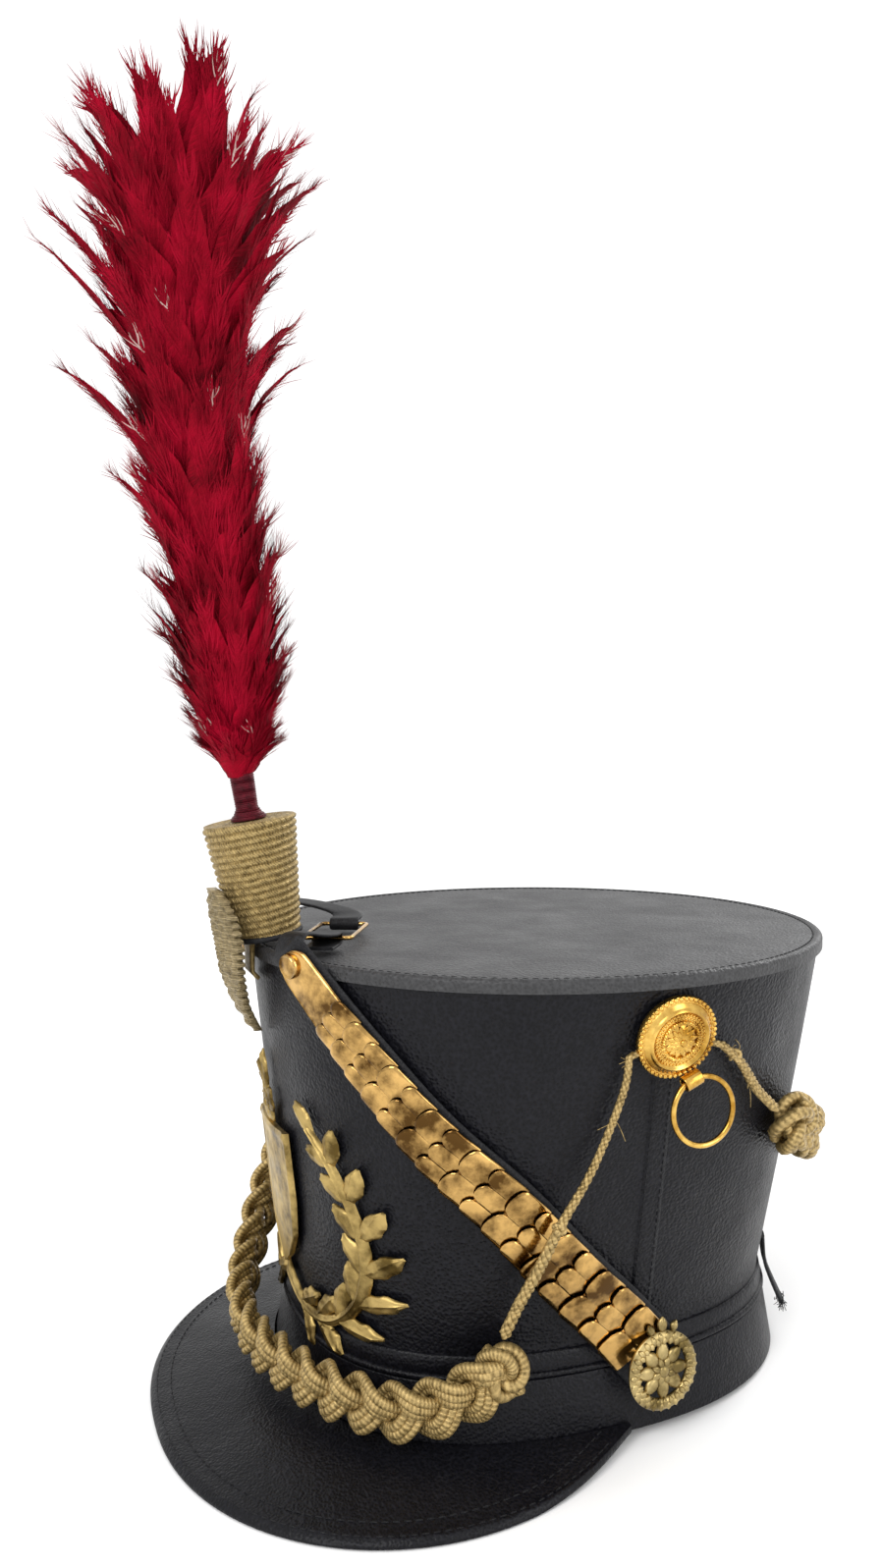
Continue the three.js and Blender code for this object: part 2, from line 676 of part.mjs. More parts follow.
function plumeCup() {
  const cup = onCup(turned([
    [0, 0],
    [CUP.footRadius, 0],
    [CUP.topRadius, CUP.height],
    [CUP.bore, CUP.height],
    [CUP.bore, CUP.height - CUP.boreDepth],
    [0, CUP.height - CUP.boreDepth],
  ], 32));
  const halfWidth = 6;
  const profile = [
    [-118.6, 175], [-120.2, 175], [-120.2, 160], [-117.4, 157], [-116.4, 158.2], [-118.6, 160.6],
  ];
  const strip = plate(profile, 2 * halfWidth)
    .applyMatrix4(new THREE.Matrix4().makeBasis(vector(0, 1, 0), vector(0, 0, 1), vector(1, 0, 0)))
    .translate(-halfWidth, 0, 0);
  return joined([cup, strip]);
}

// The plume with its stem: the middle of each level along Y and Z, and its radius.
const cupAxis = (height) => vector(0, 0, height)
  .applyAxisAngle(vector(1, 0, 0), radians(CUP_LEAN))
  .add(vector(0, CUP.footY, CUP.footZ));
const STEM = [
  { height: CUP.height - CUP.boreDepth + GAP, radius: 4.5 },
  { height: CUP.height + GAP, radius: 4.5 },
  { height: CUP.height + GAP + 0.1, radius: 7.2 },
  { height: CUP.height + 2.6, radius: 5.4 },
  { height: CUP.height + 5, radius: 4.3 },
  { height: CUP.height + 19, radius: 4.3 },
];
const PLUME = [
  { y: -122.6, z: 241, radius: 14 },
  { y: -123.5, z: 252, radius: 17 },
  { y: -125, z: 271, radius: 21 },
  { y: -128, z: 300, radius: 26 },
  { y: -133, z: 330, radius: 25 },
  { y: -136.5, z: 366, radius: 26 },
  { y: -138.5, z: 388, radius: 30 },
  { y: -140, z: 410, radius: 38 },
  { y: -140.5, z: 440, radius: 42 },
  { y: -141, z: 475, radius: 44 },
  { y: -142, z: 498, radius: 41 },
  { y: -143, z: 511, radius: 31 },
  { y: -144, z: 518, radius: 15 },
];

function plume() {
  const rows = [
    ...STEM.map(({ height, radius }) => ({ middle: cupAxis(height), radius })),
    ...PLUME.map(({ y, z, radius }) => ({ middle: vector(0, y, z), radius })),
  ];
  const last = rows.length - 1;
  const profile = [[0, 0], ...rows.map(({ radius }, i) => [radius, i]), [0, last]];
  return bent(turned(profile, 18), (x, y, z) => {
    const i = Math.round(z);
    const axis = rows[Math.min(i + 1, last)].middle.clone().sub(rows[Math.max(i - 1, 0)].middle).normalize();
    const forward = vector(1, 0, 0).cross(axis).negate();
    return rows[i].middle.clone().add(vector(x, 0, 0)).addScaledVector(forward, -y);
  });
}

// ---- Festoons and their cords ------------------------------------------------------------------------
// Routes beside the wall. Each plait and cord is drawn as a round cord of its own thickness.
const FRONT_FESTOON = [
  { angle: 64.9, z: 33, stand: 11 },
  { angle: 56.4, z: 23, stand: 12 },
  { angle: 46.8, z: 18, stand: 13 },
  { angle: 35.4, z: 18, stand: 12.5 },
  { angle: 20.6, z: 18, stand: 13.5 },
  { angle: 5.8, z: 19, stand: 17.5 },
  { angle: -8.6, z: 21, stand: 19.5 },
  { angle: -21.9, z: 27, stand: 18.5 },
  { angle: -32.5, z: 42, stand: 16 },
  { angle: -41, z: 57, stand: 14 },
  { angle: -49.2, z: 68, stand: 12.5 },
];
const REAR_FESTOON = [
  { angle: 121, z: 107, stand: 9.6 },
  { angle: 135, z: 95, stand: 9.6 },
  { angle: 152, z: 84.5, stand: 9.6 },
  { angle: 180, z: 78, stand: 9.6 },
  { angle: 208, z: 84.5, stand: 9.6 },
  { angle: 225, z: 95, stand: 9.6 },
  { angle: 239, z: 107, stand: 9.6 },
];
const FRONT_CORD_LEFT = [
  { angle: 82.0, z: 143.2, stand: 3.6 },
  { angle: 81.8, z: 134, stand: 4.7 },
  { angle: 77.5, z: 104, stand: 6.5 },
  { angle: 72.6, z: 87, stand: 10.5 },
  { angle: 69.0, z: 69, stand: 11 },
  { angle: 66.6, z: 58, stand: 10.5 },
  { angle: 64.2, z: 46, stand: 11 },
];
const FRONT_CORD_RIGHT = [
  { angle: -82.0, z: 143.2, stand: 3.6 },
  { angle: -81.5, z: 134, stand: 4.7 },
  { angle: -75, z: 116, stand: 6 },
  { angle: -65, z: 98, stand: 10.5 },
  { angle: -57, z: 87, stand: 11 },
  { angle: -52, z: 80, stand: 11 },
];
const REAR_CORD_LEFT = [
  { angle: 100, z: 143.6, stand: 3.6 },
  { angle: 104.5, z: 136.5, stand: 4.6 },
  { angle: 110.3, z: 124, stand: 5.4 },
  { angle: 115.6, z: 114.8, stand: 8 },
];

function cord(route, radius, sides, steps) {
  const path = new THREE.CatmullRomCurve3(route.map(({ angle, z, stand }) => onWall(angle, z, stand)));
  const section = new THREE.Shape(circlePoints(radius, sides).map(([x, y]) => new THREE.Vector2(x, y)));
  return new THREE.ExtrudeGeometry(section, { steps, extrudePath: path, bevelEnabled: false });
}

// ---- Assembly -------------------------------------------------------------------------------------------
addPiece('crown_wall', crownWall(), 'black_leather');
addPiece('crown_top', crownTop(), 'black_leather');
addPiece('lower_band', lowerBand(), 'black_leather');
addPiece('upper_band', upperBand(), 'black_leather');
addPiece('peak', peak(), 'black_leather');
addPiece('back_tab', backTab(), 'black_leather');
addPiece('crest_plate', crestPlate(), 'brass');
addPiece('cockade', cockade(), 'gold_thread');
addPiece('plume_cup', plumeCup(), 'gold_thread');
addPiece('plume', plume(), 'feather');
addPiece('chin_strap_left', chinStrapLeft(), 'black_leather');
addPiece('chin_strap_right', chinStrapRight(), 'black_leather');
addPiece('wire_loop', wireLoop(), 'brass');

const SIDES = [
  { side: 'left', place: (geometry) => geometry },
  { side: 'right', place: mirrored },
];
for (const { side, place } of SIDES) {
  for (let i = 0; i < SCALES_A_SIDE; i += 1) {
    addPiece(`scale_${side}_${String(i + 1).padStart(2, '0')}`, place(scale(i)), 'brass');
  }
  addPiece(`end_plate_${side}`, place(endPlate()), 'brass');
  addPiece(`scale_roundel_${side}`, place(scaleRoundel()), 'brass');
  addPiece(`side_boss_${side}`, place(sideBoss()), 'gilt');
  addPiece(`ring_${side}`, place(bossRing()), 'gilt');
  addPiece(`rear_cord_${side}`, place(cord(REAR_CORD_LEFT, CORD_RADIUS, 8, 6)), 'gold_thread');
}
addPiece('front_cord_left', cord(FRONT_CORD_LEFT, CORD_RADIUS, 8, 12), 'gold_thread');
addPiece('front_cord_right', cord(FRONT_CORD_RIGHT, CORD_RADIUS, 8, 10), 'gold_thread');
addPiece('front_plait', cord(FRONT_FESTOON, FESTOON_RADIUS, 10, 16), 'gold_thread');
addPiece('rear_plait', cord(REAR_FESTOON, FESTOON_RADIUS, 10, 14), 'gold_thread');

// ---- At rest ----------------------------------------------------------------------------------------------
// The hat stands on its peak's edge and the back of its band. The origin is on the floor, under the
// middle of everything but the cords.
const CORD_PIECES = /^(front|rear)_(cord|plait)/;
hat.rotation.x = -radians(REST_TILT);
hat.updateMatrixWorld(true);
const bounds = new THREE.Box3();
for (const mesh of hat.children.filter(({ name }) => !CORD_PIECES.test(name))) {
  bounds.expandByObject(mesh, true);
}
const middle = bounds.getCenter(vector());
hat.position.set(-middle.x, -middle.y, -bounds.min.z);

const part = new THREE.Group();
part.add(hat);
export default part;
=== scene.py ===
"""The looks of a British style full dress shako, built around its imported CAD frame.

Shapes are worked out in the crown's own frame, in millimetres: the base ring lies at z = 0, the front
faces -Y and the wearer's left is +X. world() lays them at rest, in metres, where the CAD pieces are.
"""
import math

import bmesh
import bpy
import numpy as np
from mathutils import Matrix

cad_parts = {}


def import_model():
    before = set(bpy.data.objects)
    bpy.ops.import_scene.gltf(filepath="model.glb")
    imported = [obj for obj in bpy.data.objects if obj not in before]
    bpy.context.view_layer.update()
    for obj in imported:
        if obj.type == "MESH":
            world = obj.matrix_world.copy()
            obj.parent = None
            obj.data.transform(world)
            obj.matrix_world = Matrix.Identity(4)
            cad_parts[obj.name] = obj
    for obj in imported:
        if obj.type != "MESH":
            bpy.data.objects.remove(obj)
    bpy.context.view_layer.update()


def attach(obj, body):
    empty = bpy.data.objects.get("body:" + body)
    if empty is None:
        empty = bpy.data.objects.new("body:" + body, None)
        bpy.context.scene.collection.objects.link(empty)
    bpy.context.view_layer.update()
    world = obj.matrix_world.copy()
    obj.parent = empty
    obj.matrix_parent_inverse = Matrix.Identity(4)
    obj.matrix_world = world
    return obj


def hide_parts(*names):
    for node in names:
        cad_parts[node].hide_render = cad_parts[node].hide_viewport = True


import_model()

# ---- Driving dimensions, in millimetres and degrees -------------------------------------------------
REST_TILT = 2.3                     # the crown leans back when the hat stands by itself
REST_SHIFT = (0.0, 18.5436, 3.9983)

RIM_HEIGHT = 171
RIM_RADIUS = 120
RIM_CENTRE = 2
RIM_DROP = 5
WALL_THICKNESS = 2.5
WALL_TOP = 167.2

# The wall's outside in three levels: half sizes, centre along Y and roundness.
LEVEL_HEIGHT = (0, 32, 171)
HALF_X = (84.4, 81.7, 119.0)
HALF_Y = (101.0, 97.6, 119.0)
CENTRE = (-4.07, -3.85, 2.04)
POWER = (2.43, 2.43, 2.0)

LOWER_BAND_HEIGHT = 23
LOWER_BAND_FOOT = 2.7
UPPER_BAND_FOOT = 23.3
UPPER_BAND_TOP = 32
ABOVE_BANDS = (-1000, -1000, UPPER_BAND_TOP + 1)

PEAK_DEPTH = 49
PEAK_HALF_ANGLE = 91.4
PEAK_THICKNESS = 2.5
PEAK_ROOT = 1.0
PEAK_MAX_SLOPE = 15.5
PEAK_LEAST_DEPTH = 1.5
PEAK_GAP = 0.3                      # from the lower band to the peak's root
PEAK_SEAM_INSETS = (2.6, 8.0)

# The seam at each side, at its foot and top: its middle and half width round the wall.
SEAM_ANGLE = (95.2, 88.6)
SEAM_HALF_WIDTH = (2.7, 2.0)
ROLL_RADIUS = 1.8
TOP_SEAM_RADIUS, TOP_SEAM_HEIGHT = 116.3, 170.5

SCALES_A_SIDE = 16
SCALE_THICKNESS = 0.8
SCALE_RISE = 0.13
SCALE_LAP = 2.6
SCALE_BULGE = 1.0
SCALE_LIFT = 1.2
FIRST_SCALE_AT = 10
FIRST_PITCH = 12.1
LAST_PITCH = 8.9
WIDEST_SCALE, SCALE_NARROWING = 24, 6
STRAP_THICKNESS = 1.2
STRAP_EDGE = 1.3

BOSS_ANGLE, BOSS_HEIGHT, BOSS_STAND = 90.3, 149.6, 1.7
CLIP_DISTANCE = 16.2
CLIP_TURN = 22
CLIP_LIFT = 4.6
RING_RADIUS = 11.8
RING_WIRE = 1.0
ROUNDEL_ANGLE, ROUNDEL_HEIGHT, ROUNDEL_STAND = 97, 23.5, 10.8

CUP_LEAN = 8.7
CUP_FOOT = (0, -112, 173.4)
CUP_HEIGHT = 46.5
CUP_FOOT_RADIUS = 13
CUP_TOP_RADIUS = 18.5
CUP_TURNS = 17
CUP_BORE_RADIUS, CUP_BORE_DEPTH = 4.9, 14

# Routes beside the wall as (angle, height, stand), the same as the CAD model's.
STRAP_ROUTE = [
    (97.0, 23, 6.6), (88.1, 41, 5.0), (78.7, 58, 3.5), (63.9, 89, 3.4),
    (49.6, 115, 3.2), (36.4, 142, 3.3), (20.6, 172, 4.2),
]
FRONT_FESTOON = [
    (64.9, 33, 11), (56.4, 23, 12), (46.8, 18, 13), (35.4, 18, 12.5), (20.6, 18, 13.5), (5.8, 19, 17.5),
    (-8.6, 21, 19.5), (-21.9, 27, 18.5), (-32.5, 42, 16), (-41, 57, 14), (-49.2, 68, 12.5),
]
REAR_FESTOON = [
    (121, 107, 9.6), (135, 95, 9.6), (152, 84.5, 9.6), (180, 78, 9.6), (208, 84.5, 9.6),
    (225, 95, 9.6), (239, 107, 9.6),
]
FRONT_CORD_LEFT = [
    (82.0, 143.2, 3.6), (81.8, 134, 4.7), (77.5, 104, 6.5), (72.6, 87, 10.5), (69.0, 69, 11),
    (66.6, 58, 10.5), (64.2, 46, 11),
]
FRONT_CORD_RIGHT = [
    (-82.0, 143.2, 3.6), (-81.5, 134, 4.7), (-75, 116, 6), (-65, 98, 10.5), (-57, 87, 11), (-52, 80, 11),
]
REAR_CORD_LEFT = [(100, 143.6, 3.6), (104.5, 136.5, 4.6), (110.3, 124, 5.4), (115.6, 114.8, 8)]
BACK_TAB = [(149, 41, 1.5), (149.5, 30, 4), (150, 22, 6), (151, 13, 9)]

# The plume's middle along Y at each height, and its radius.
PLUME_HEIGHT = (241, 252, 271, 300, 330, 366, 388, 410, 440, 475, 498, 511, 518)
PLUME_MIDDLE = (-122.6, -123.5, -125, -128, -133, -136.5, -138.5, -140, -140.5, -141, -142, -143, -144)
PLUME_RADIUS = (14, 17, 21, 26, 25, 26, 30, 38, 42, 44, 41, 31, 15)

FEATHERS = 330
BARBS_A_FEATHER = 84
BARBS_A_STRAY = 110
PALE_BARBS = 8
PLUME_FOOT = 236
FIRST_TIP, TIP_RISE = 243, 262       # the tips climb evenly, then jitter between two limits
LOWEST_TIP, HIGHEST_TIP = 250, 505
GOLDEN_ANGLE = math.pi * (3 - math.sqrt(5))

# Feathers that stand out from the rest: tip height, turn, length, reach of the plume's radius, swirl.
STRAY_FEATHERS = [
    (440, -0.2, 66, 1.34, 0.1), (446, 0.1, 60, 1.22, 0.0), (388, 0.1, 48, 1.62, 0.0),
    (384, -0.15, 46, 1.45, 0.1), (352, 0.0, 40, 1.35, 0.0), (470, 2.9, 60, 1.18, 0.1),
    (455, 3.3, 54, 1.2, -0.1), (400, 3.1, 46, 1.25, 0.0),
]
STRAY_WIDTH = 11

# The cockade's front along Y and its half width, at each height.
COCKADE_HEIGHT = (136, 148, 160, 172, 183, 190, 193)
COCKADE_FRONT = (-117.6, -125, -129.4, -131.4, -133.4, -134.2, -134.5)
COCKADE_HALF_WIDTH = (0.8, 9, 14.5, 17.5, 17, 12, 5)
COCKADE_MIDDLE = 172

# The plate's laurel branch, as [x, z, width] rows, with its leaves in pairs.
BRANCH = [
    [0, 42, 7], [18, 35, 5], [38, 36, 4.5], [52, 47, 4],
    [58, 64, 3.5], [56, 83, 3], [48, 99, 2.5], [38, 110, 1.6],
]
LEAF_PAIRS = 8
LEAF_TURN = 40
LEAF_LENGTH = (18, 13)
LEAF_WIDTHS = [(0, 2), (0.3, 7), (0.65, 7.5), (1, 1.2)]
TOP_LEAF = [[0, 112, 4], [0, 118, 7], [0, 124, 6], [0, 129, 1.2]]
ROSETTE_HEIGHT, ROSETTE_RADIUS = 108, 9
PLATE_BACK = 2.0                    # how far the plate's back stands off the wall
# The shield's half width at each height.
SHIELD_HEIGHT = (44, 50, 60, 74, 101)
SHIELD_HALF_WIDTH = (0.5, 10, 18, 21, 21)

UP = np.array([0.0, 0.0, 1.0])
ANY_WAY = (0.3, 0.2, 0.9)           # a direction that no cord starts along

rng = np.random.default_rng(20)


# ---- Maths -------------------------------------------------------------------------------------------
def world(points):
    """Crown-frame millimetres to world metres."""
    points = np.asarray(points, float)
    cosine, sine = math.cos(math.radians(REST_TILT)), math.sin(math.radians(REST_TILT))
    x, y, z = points[..., 0], points[..., 1], points[..., 2]
    laid = stack(x, y * cosine + z * sine, z * cosine - y * sine)
    return (laid + REST_SHIFT) * 0.001


def stack(*columns):
    """Coordinates side by side, stretched to one shape."""
    return np.stack(np.broadcast_arrays(*columns), axis=-1)


def unit(vectors):
    return vectors / np.linalg.norm(vectors, axis=-1, keepdims=True)


def tangents(line):
    return unit(np.gradient(line, axis=0))


def circle(count):
    """Angles evenly round a full turn, in radians."""
    return np.arange(count) * 2 * np.pi / count


def sampled(wanted, at, rows):
    """Rows of values known at some distances, read off at the wanted ones."""
    return stack(*(np.interp(wanted, at, column) for column in rows.T))


def mirrored(points):
    return np.asarray(points) * (-1, 1, 1)


def wall_level(z):
    """Half sizes, centre and roundness of the wall at each height."""
    z = np.asarray(z, float)
    foot, waist, top = LEVEL_HEIGHT
    upper = z > waist
    t = np.where(upper, (z - waist) / (top - waist), (z - foot) / (waist - foot))
    return [
        np.where(upper, mid + (high - mid) * t, low + (mid - low) * t)
        for low, mid, high in (HALF_X, HALF_Y, CENTRE, POWER)
    ]


def on_wall(angle, z, stand=0.0):
    """Points beside the wall: angle in degrees from the front towards the wearer's left."""
    angle, z, stand = np.broadcast_arrays(np.asarray(angle, float), np.asarray(z, float), stand)
    half_x, half_y, centre, power = wall_level(z)
    sine, cosine = np.sin(np.radians(angle)), np.cos(np.radians(angle))
    reach = (np.abs(sine) ** power + np.abs(cosine) ** power) ** (-1 / power)
    across = np.sign(sine) * np.abs(reach * sine) ** (power - 1) / half_x
    along = -np.sign(cosine) * np.abs(reach * cosine) ** (power - 1) / half_y
    length = np.hypot(across, along)
    return stack(
        half_x * reach * sine + stand * across / length,
        centre - half_y * reach * cosine + stand * along / length,
        z,
    )


def wall_normal(points):
    """The wall's outward normals nearest some points."""
    def depth(p):
        half_x, half_y, centre, power = wall_level(p[..., 2])
        return (np.abs(p[..., 0]) / half_x) ** power + (np.abs(p[..., 1] - centre) / half_y) ** power
    here = depth(points)
    step = 0.1
    return unit(stack(*(depth(points + step * axis) - here for axis in np.eye(3))))


def on_front(x, z, stand):
    """Points in front of the wall at a level x, standing off it."""
    x, z, stand = np.broadcast_arrays(np.asarray(x, float), z, stand)
    half_x, half_y, centre, power = wall_level(z)
    foot = x
    for _ in range(3):
        y = centre - half_y * np.clip(1 - np.abs(foot / half_x) ** power, 0.02, 1) ** (1 / power)
        point = stack(foot, y, z)
        normal = wall_normal(point)
        foot = x - stand * normal[..., 0]
    return point + normal * np.asarray(stand)[..., None]


def spline(points, steps=16):
    """A smooth line through points, as a centripetal Catmull-Rom curve."""
    points = np.asarray(points, float)
    ends = np.vstack([2 * points[0] - points[1], points, 2 * points[-1] - points[-2]])
    t = np.linspace(0, 1, steps, endpoint=False)[:, None]
    line = []
    for a, b, c, d in zip(ends, ends[1:], ends[2:], ends[3:]):
        before, span, after = [max(np.linalg.norm(q - p) ** 0.5, 1e-4) for p, q in ((a, b), (b, c), (c, d))]
        leave = ((b - a) / before - (c - a) / (before + span) + (c - b) / span) * span
        arrive = ((c - b) / span - (d - b) / (span + after) + (d - c) / after) * span
        cubic = 2 * b - 2 * c + leave + arrive
        square = -3 * b + 3 * c - 2 * leave - arrive
        line.append(b + leave * t + square * t ** 2 + cubic * t ** 3)
    return np.vstack([*line, points[-1:]])


def distances(line):
    return np.concatenate([[0], np.cumsum(np.linalg.norm(np.diff(line, axis=0), axis=1))])


def resampled(line, step):
    """The same line with points a step apart."""
    at = distances(line)
    wanted = np.linspace(0, at[-1], max(2, int(round(at[-1] / step)) + 1))
    return sampled(wanted, at, line)


def route(rows, step=1.0):
    """A smooth line beside the wall through (angle, height, stand) rows."""
    angle, z, stand = np.array(rows, float).T
    return resampled(spline(on_wall(angle, z, stand)), step)


def wall_basis(angle, z, stand, upright=False):
    """An origin and axes on the wall: X towards the back, Y up and Z outwards."""
    foot = on_wall(angle, z)
    normal = unit(wall_normal(foot) * (1, 1, 0 if upright else 1))
    up = unit(np.array([0, 0, 1]) - normal[2] * normal)
    return foot + normal * stand, np.array([np.cross(up, normal), up, normal])


def placed(points, basis):
    origin, axes = basis
    return origin + np.asarray(points, float) @ axes


# ---- Meshes ------------------------------------------------------------------------------------------
def link(name, data):
    """Adds an object to the scene."""
    item = bpy.data.objects.new(name, data)
    bpy.context.scene.collection.objects.link(item)
    return item


class Shape:
    """Gathers grids and caps into one mesh. UVs are millimetres, or turns across a closed grid."""

    def __init__(self):
        self.points = []
        self.faces = []
        self.corners = []
        self.count = 0

    def grid(self, points, closed=False, capped=False):
        """Adds a grid of rows and columns; closed joins the last column to the first."""
        points = np.asarray(points, float)
        rows, columns = points.shape[:2]
        i, j = np.meshgrid(np.arange(rows - 1), np.arange(columns - (not closed)), indexing="ij")
        k = (j + 1) % columns
        quads = stack(i * columns + j, i * columns + k, (i + 1) * columns + k, (i + 1) * columns + j)
        along = distances(points[:, columns // 2])
        if closed:
            across = np.arange(columns + 1) / columns
        else:
            across = distances(points[rows // 2])
        corners = [stack(across[j + right], along[i + up]) for right, up in ((0, 0), (1, 0), (1, 1), (0, 1))]
        self.faces += (quads.reshape(-1, 4) + self.count).tolist()
        self.corners.append(np.stack(corners, axis=-2).reshape(-1, 2))
        if capped:
            for first in (0, (rows - 1) * columns):
                self.faces.append((np.arange(columns) + first + self.count).tolist())
                self.corners.append(np.zeros((columns, 2)))
        self.points.append(points.reshape(-1, 3))
        self.count += rows * columns
        return self

    def ring(self, points):
        """Adds a grid that closes on itself."""
        return self.grid(points, closed=True)

    def rod(self, points):
        """Adds a closed grid with a cap at each end."""
        return self.grid(points, closed=True, capped=True)

    def solid(self, top, bottom):
        """Adds a closed slab between two grids of one size."""
        return self.rod(np.concatenate([top, bottom[:, ::-1]], axis=1))

    def mirror(self):
        """Adds everything again on the other side."""
        points = np.vstack(self.points)
        self.faces += [[k + self.count for k in face] for face in self.faces]
        self.corners += list(self.corners)
        self.points = [points, mirrored(points)]
        self.count *= 2
        return self

    def on(self, side):
        """Moves what was made for the left side over, when the side is the right one."""
        if side == "right":
            self.points = [mirrored(np.vstack(self.points))]
        return self

    def build(self, name, look, slot, body="hat", replaces=(), crease=38, outward=True):
        """Makes the piece, laid at rest, with its look, its body and the CAD nodes it stands for."""
        mesh = bpy.data.meshes.new(name)
        mesh.from_pydata(world(np.vstack(self.points)).tolist(), [], self.faces)
        layer = mesh.uv_layers.new(name="UVMap")
        layer.data.foreach_set("uv", np.vstack(self.corners).ravel())
        if outward:
            sides = bmesh.new()
            sides.from_mesh(mesh)
            bmesh.ops.recalc_face_normals(sides, faces=sides.faces)
            sides.to_mesh(mesh)
            sides.free()
        mesh.shade_smooth()
        if crease:
            mesh.set_sharp_from_angle(angle=math.radians(crease))
        mesh.materials.append(look)
        piece = link(name, mesh)
        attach(piece, body)
        if replaces:
            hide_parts(*replaces)
        return piece


def lathe(profile, segments=96):
    """Rows of a profile of (radius, height) turned about Z."""
    radius, height = np.array(profile, float).T[..., None]
    turn = circle(segments)
    return stack(radius * np.cos(turn), radius * np.sin(turn), height)


def rounded(profile, radius, steps=4):
    """A closed profile with its corners rounded off."""
    profile = np.array(profile, float)
    rows = []
    for before, corner, after in zip(np.roll(profile, 1, axis=0), profile, np.roll(profile, -1, axis=0)):
        reach = min(radius, *(0.45 * np.linalg.norm(other - corner) for other in (before, after)))
        start = corner + unit(before - corner) * reach
        end = corner + unit(after - corner) * reach
        for t in np.linspace(0, 1, steps):
            rows.append((1 - t) ** 2 * start + 2 * t * (1 - t) * corner + t ** 2 * end)
    return np.array(rows)


def wall_ring(profile, segments=224):
    """A ring round the wall, from a closed profile of (stand, height) rows."""
    stand, height = np.array([*profile, profile[0]], float).T[..., None]
    return on_wall(np.degrees(circle(segments)), height, stand)


def frames(line, facing=None):
    """Two directions square to a line, turning as little as they can or held to a facing."""
    tangent = tangents(line)
    if facing is not None:
        side = unit(np.cross(tangent, facing))
        return side, np.cross(side, tangent)
    sides = [unit(np.cross(tangent[0], ANY_WAY))]
    for direction in tangent[1:]:
        sides.append(unit(sides[-1] - direction * (sides[-1] @ direction)))
    return np.array(sides), np.cross(sides, tangent)


def tube(line, radius, sides=8, loop=False):
    """A grid round a line. A loop's line ends one step short of its start."""
    radius = np.broadcast_to(radius, len(line))
    if loop:
        tangent = unit(np.roll(line, -1, axis=0) - np.roll(line, 1, axis=0))
        side = np.broadcast_to(unit(np.cross(tangent[0], tangent[len(tangent) // 4])), tangent.shape)
        lift = np.cross(side, tangent)
        line, radius, side, lift = [np.concatenate([v, v[:1]]) for v in (line, radius, side, lift)]
    else:
        side, lift = frames(line)
    turn = circle(sides)[:, None]
    ring = np.cos(turn) * side[:, None] + np.sin(turn) * lift[:, None]
    return line[:, None] + ring * radius[:, None, None]


def ball(centre, radius, squash=1.0, rows=5, segments=8):
    """A grid for a small ball, flattened along Z by squash."""
    turn = np.linspace(0.05, np.pi - 0.05, rows)
    profile = stack(radius * np.sin(turn), -radius * squash * np.cos(turn))
    return lathe(profile, segments) + np.asarray(centre, float)


def stitches(shape, line, normal, length=2.3, gap=1.1, radius=0.3):
    """Adds a row of short raised stitches along a line on a surface."""
    at = distances(line)
    count = int(at[-1] / (length + gap))
    starts = (np.arange(count) + 0.25) * at[-1] / count
    for start in starts:
        spots = start + length * np.array([0, 0.12, 0.5, 0.88, 1])
        middle = sampled(spots, at, line)
        out = sampled(spots, at, normal)
        lift = np.array([-0.25, 0.05, 0.14, 0.05, -0.25])
        thickness = radius * np.array([0.3, 0.9, 1, 0.9, 0.3])
        shape.rod(tube(middle + out * lift[:, None], thickness, sides=5))


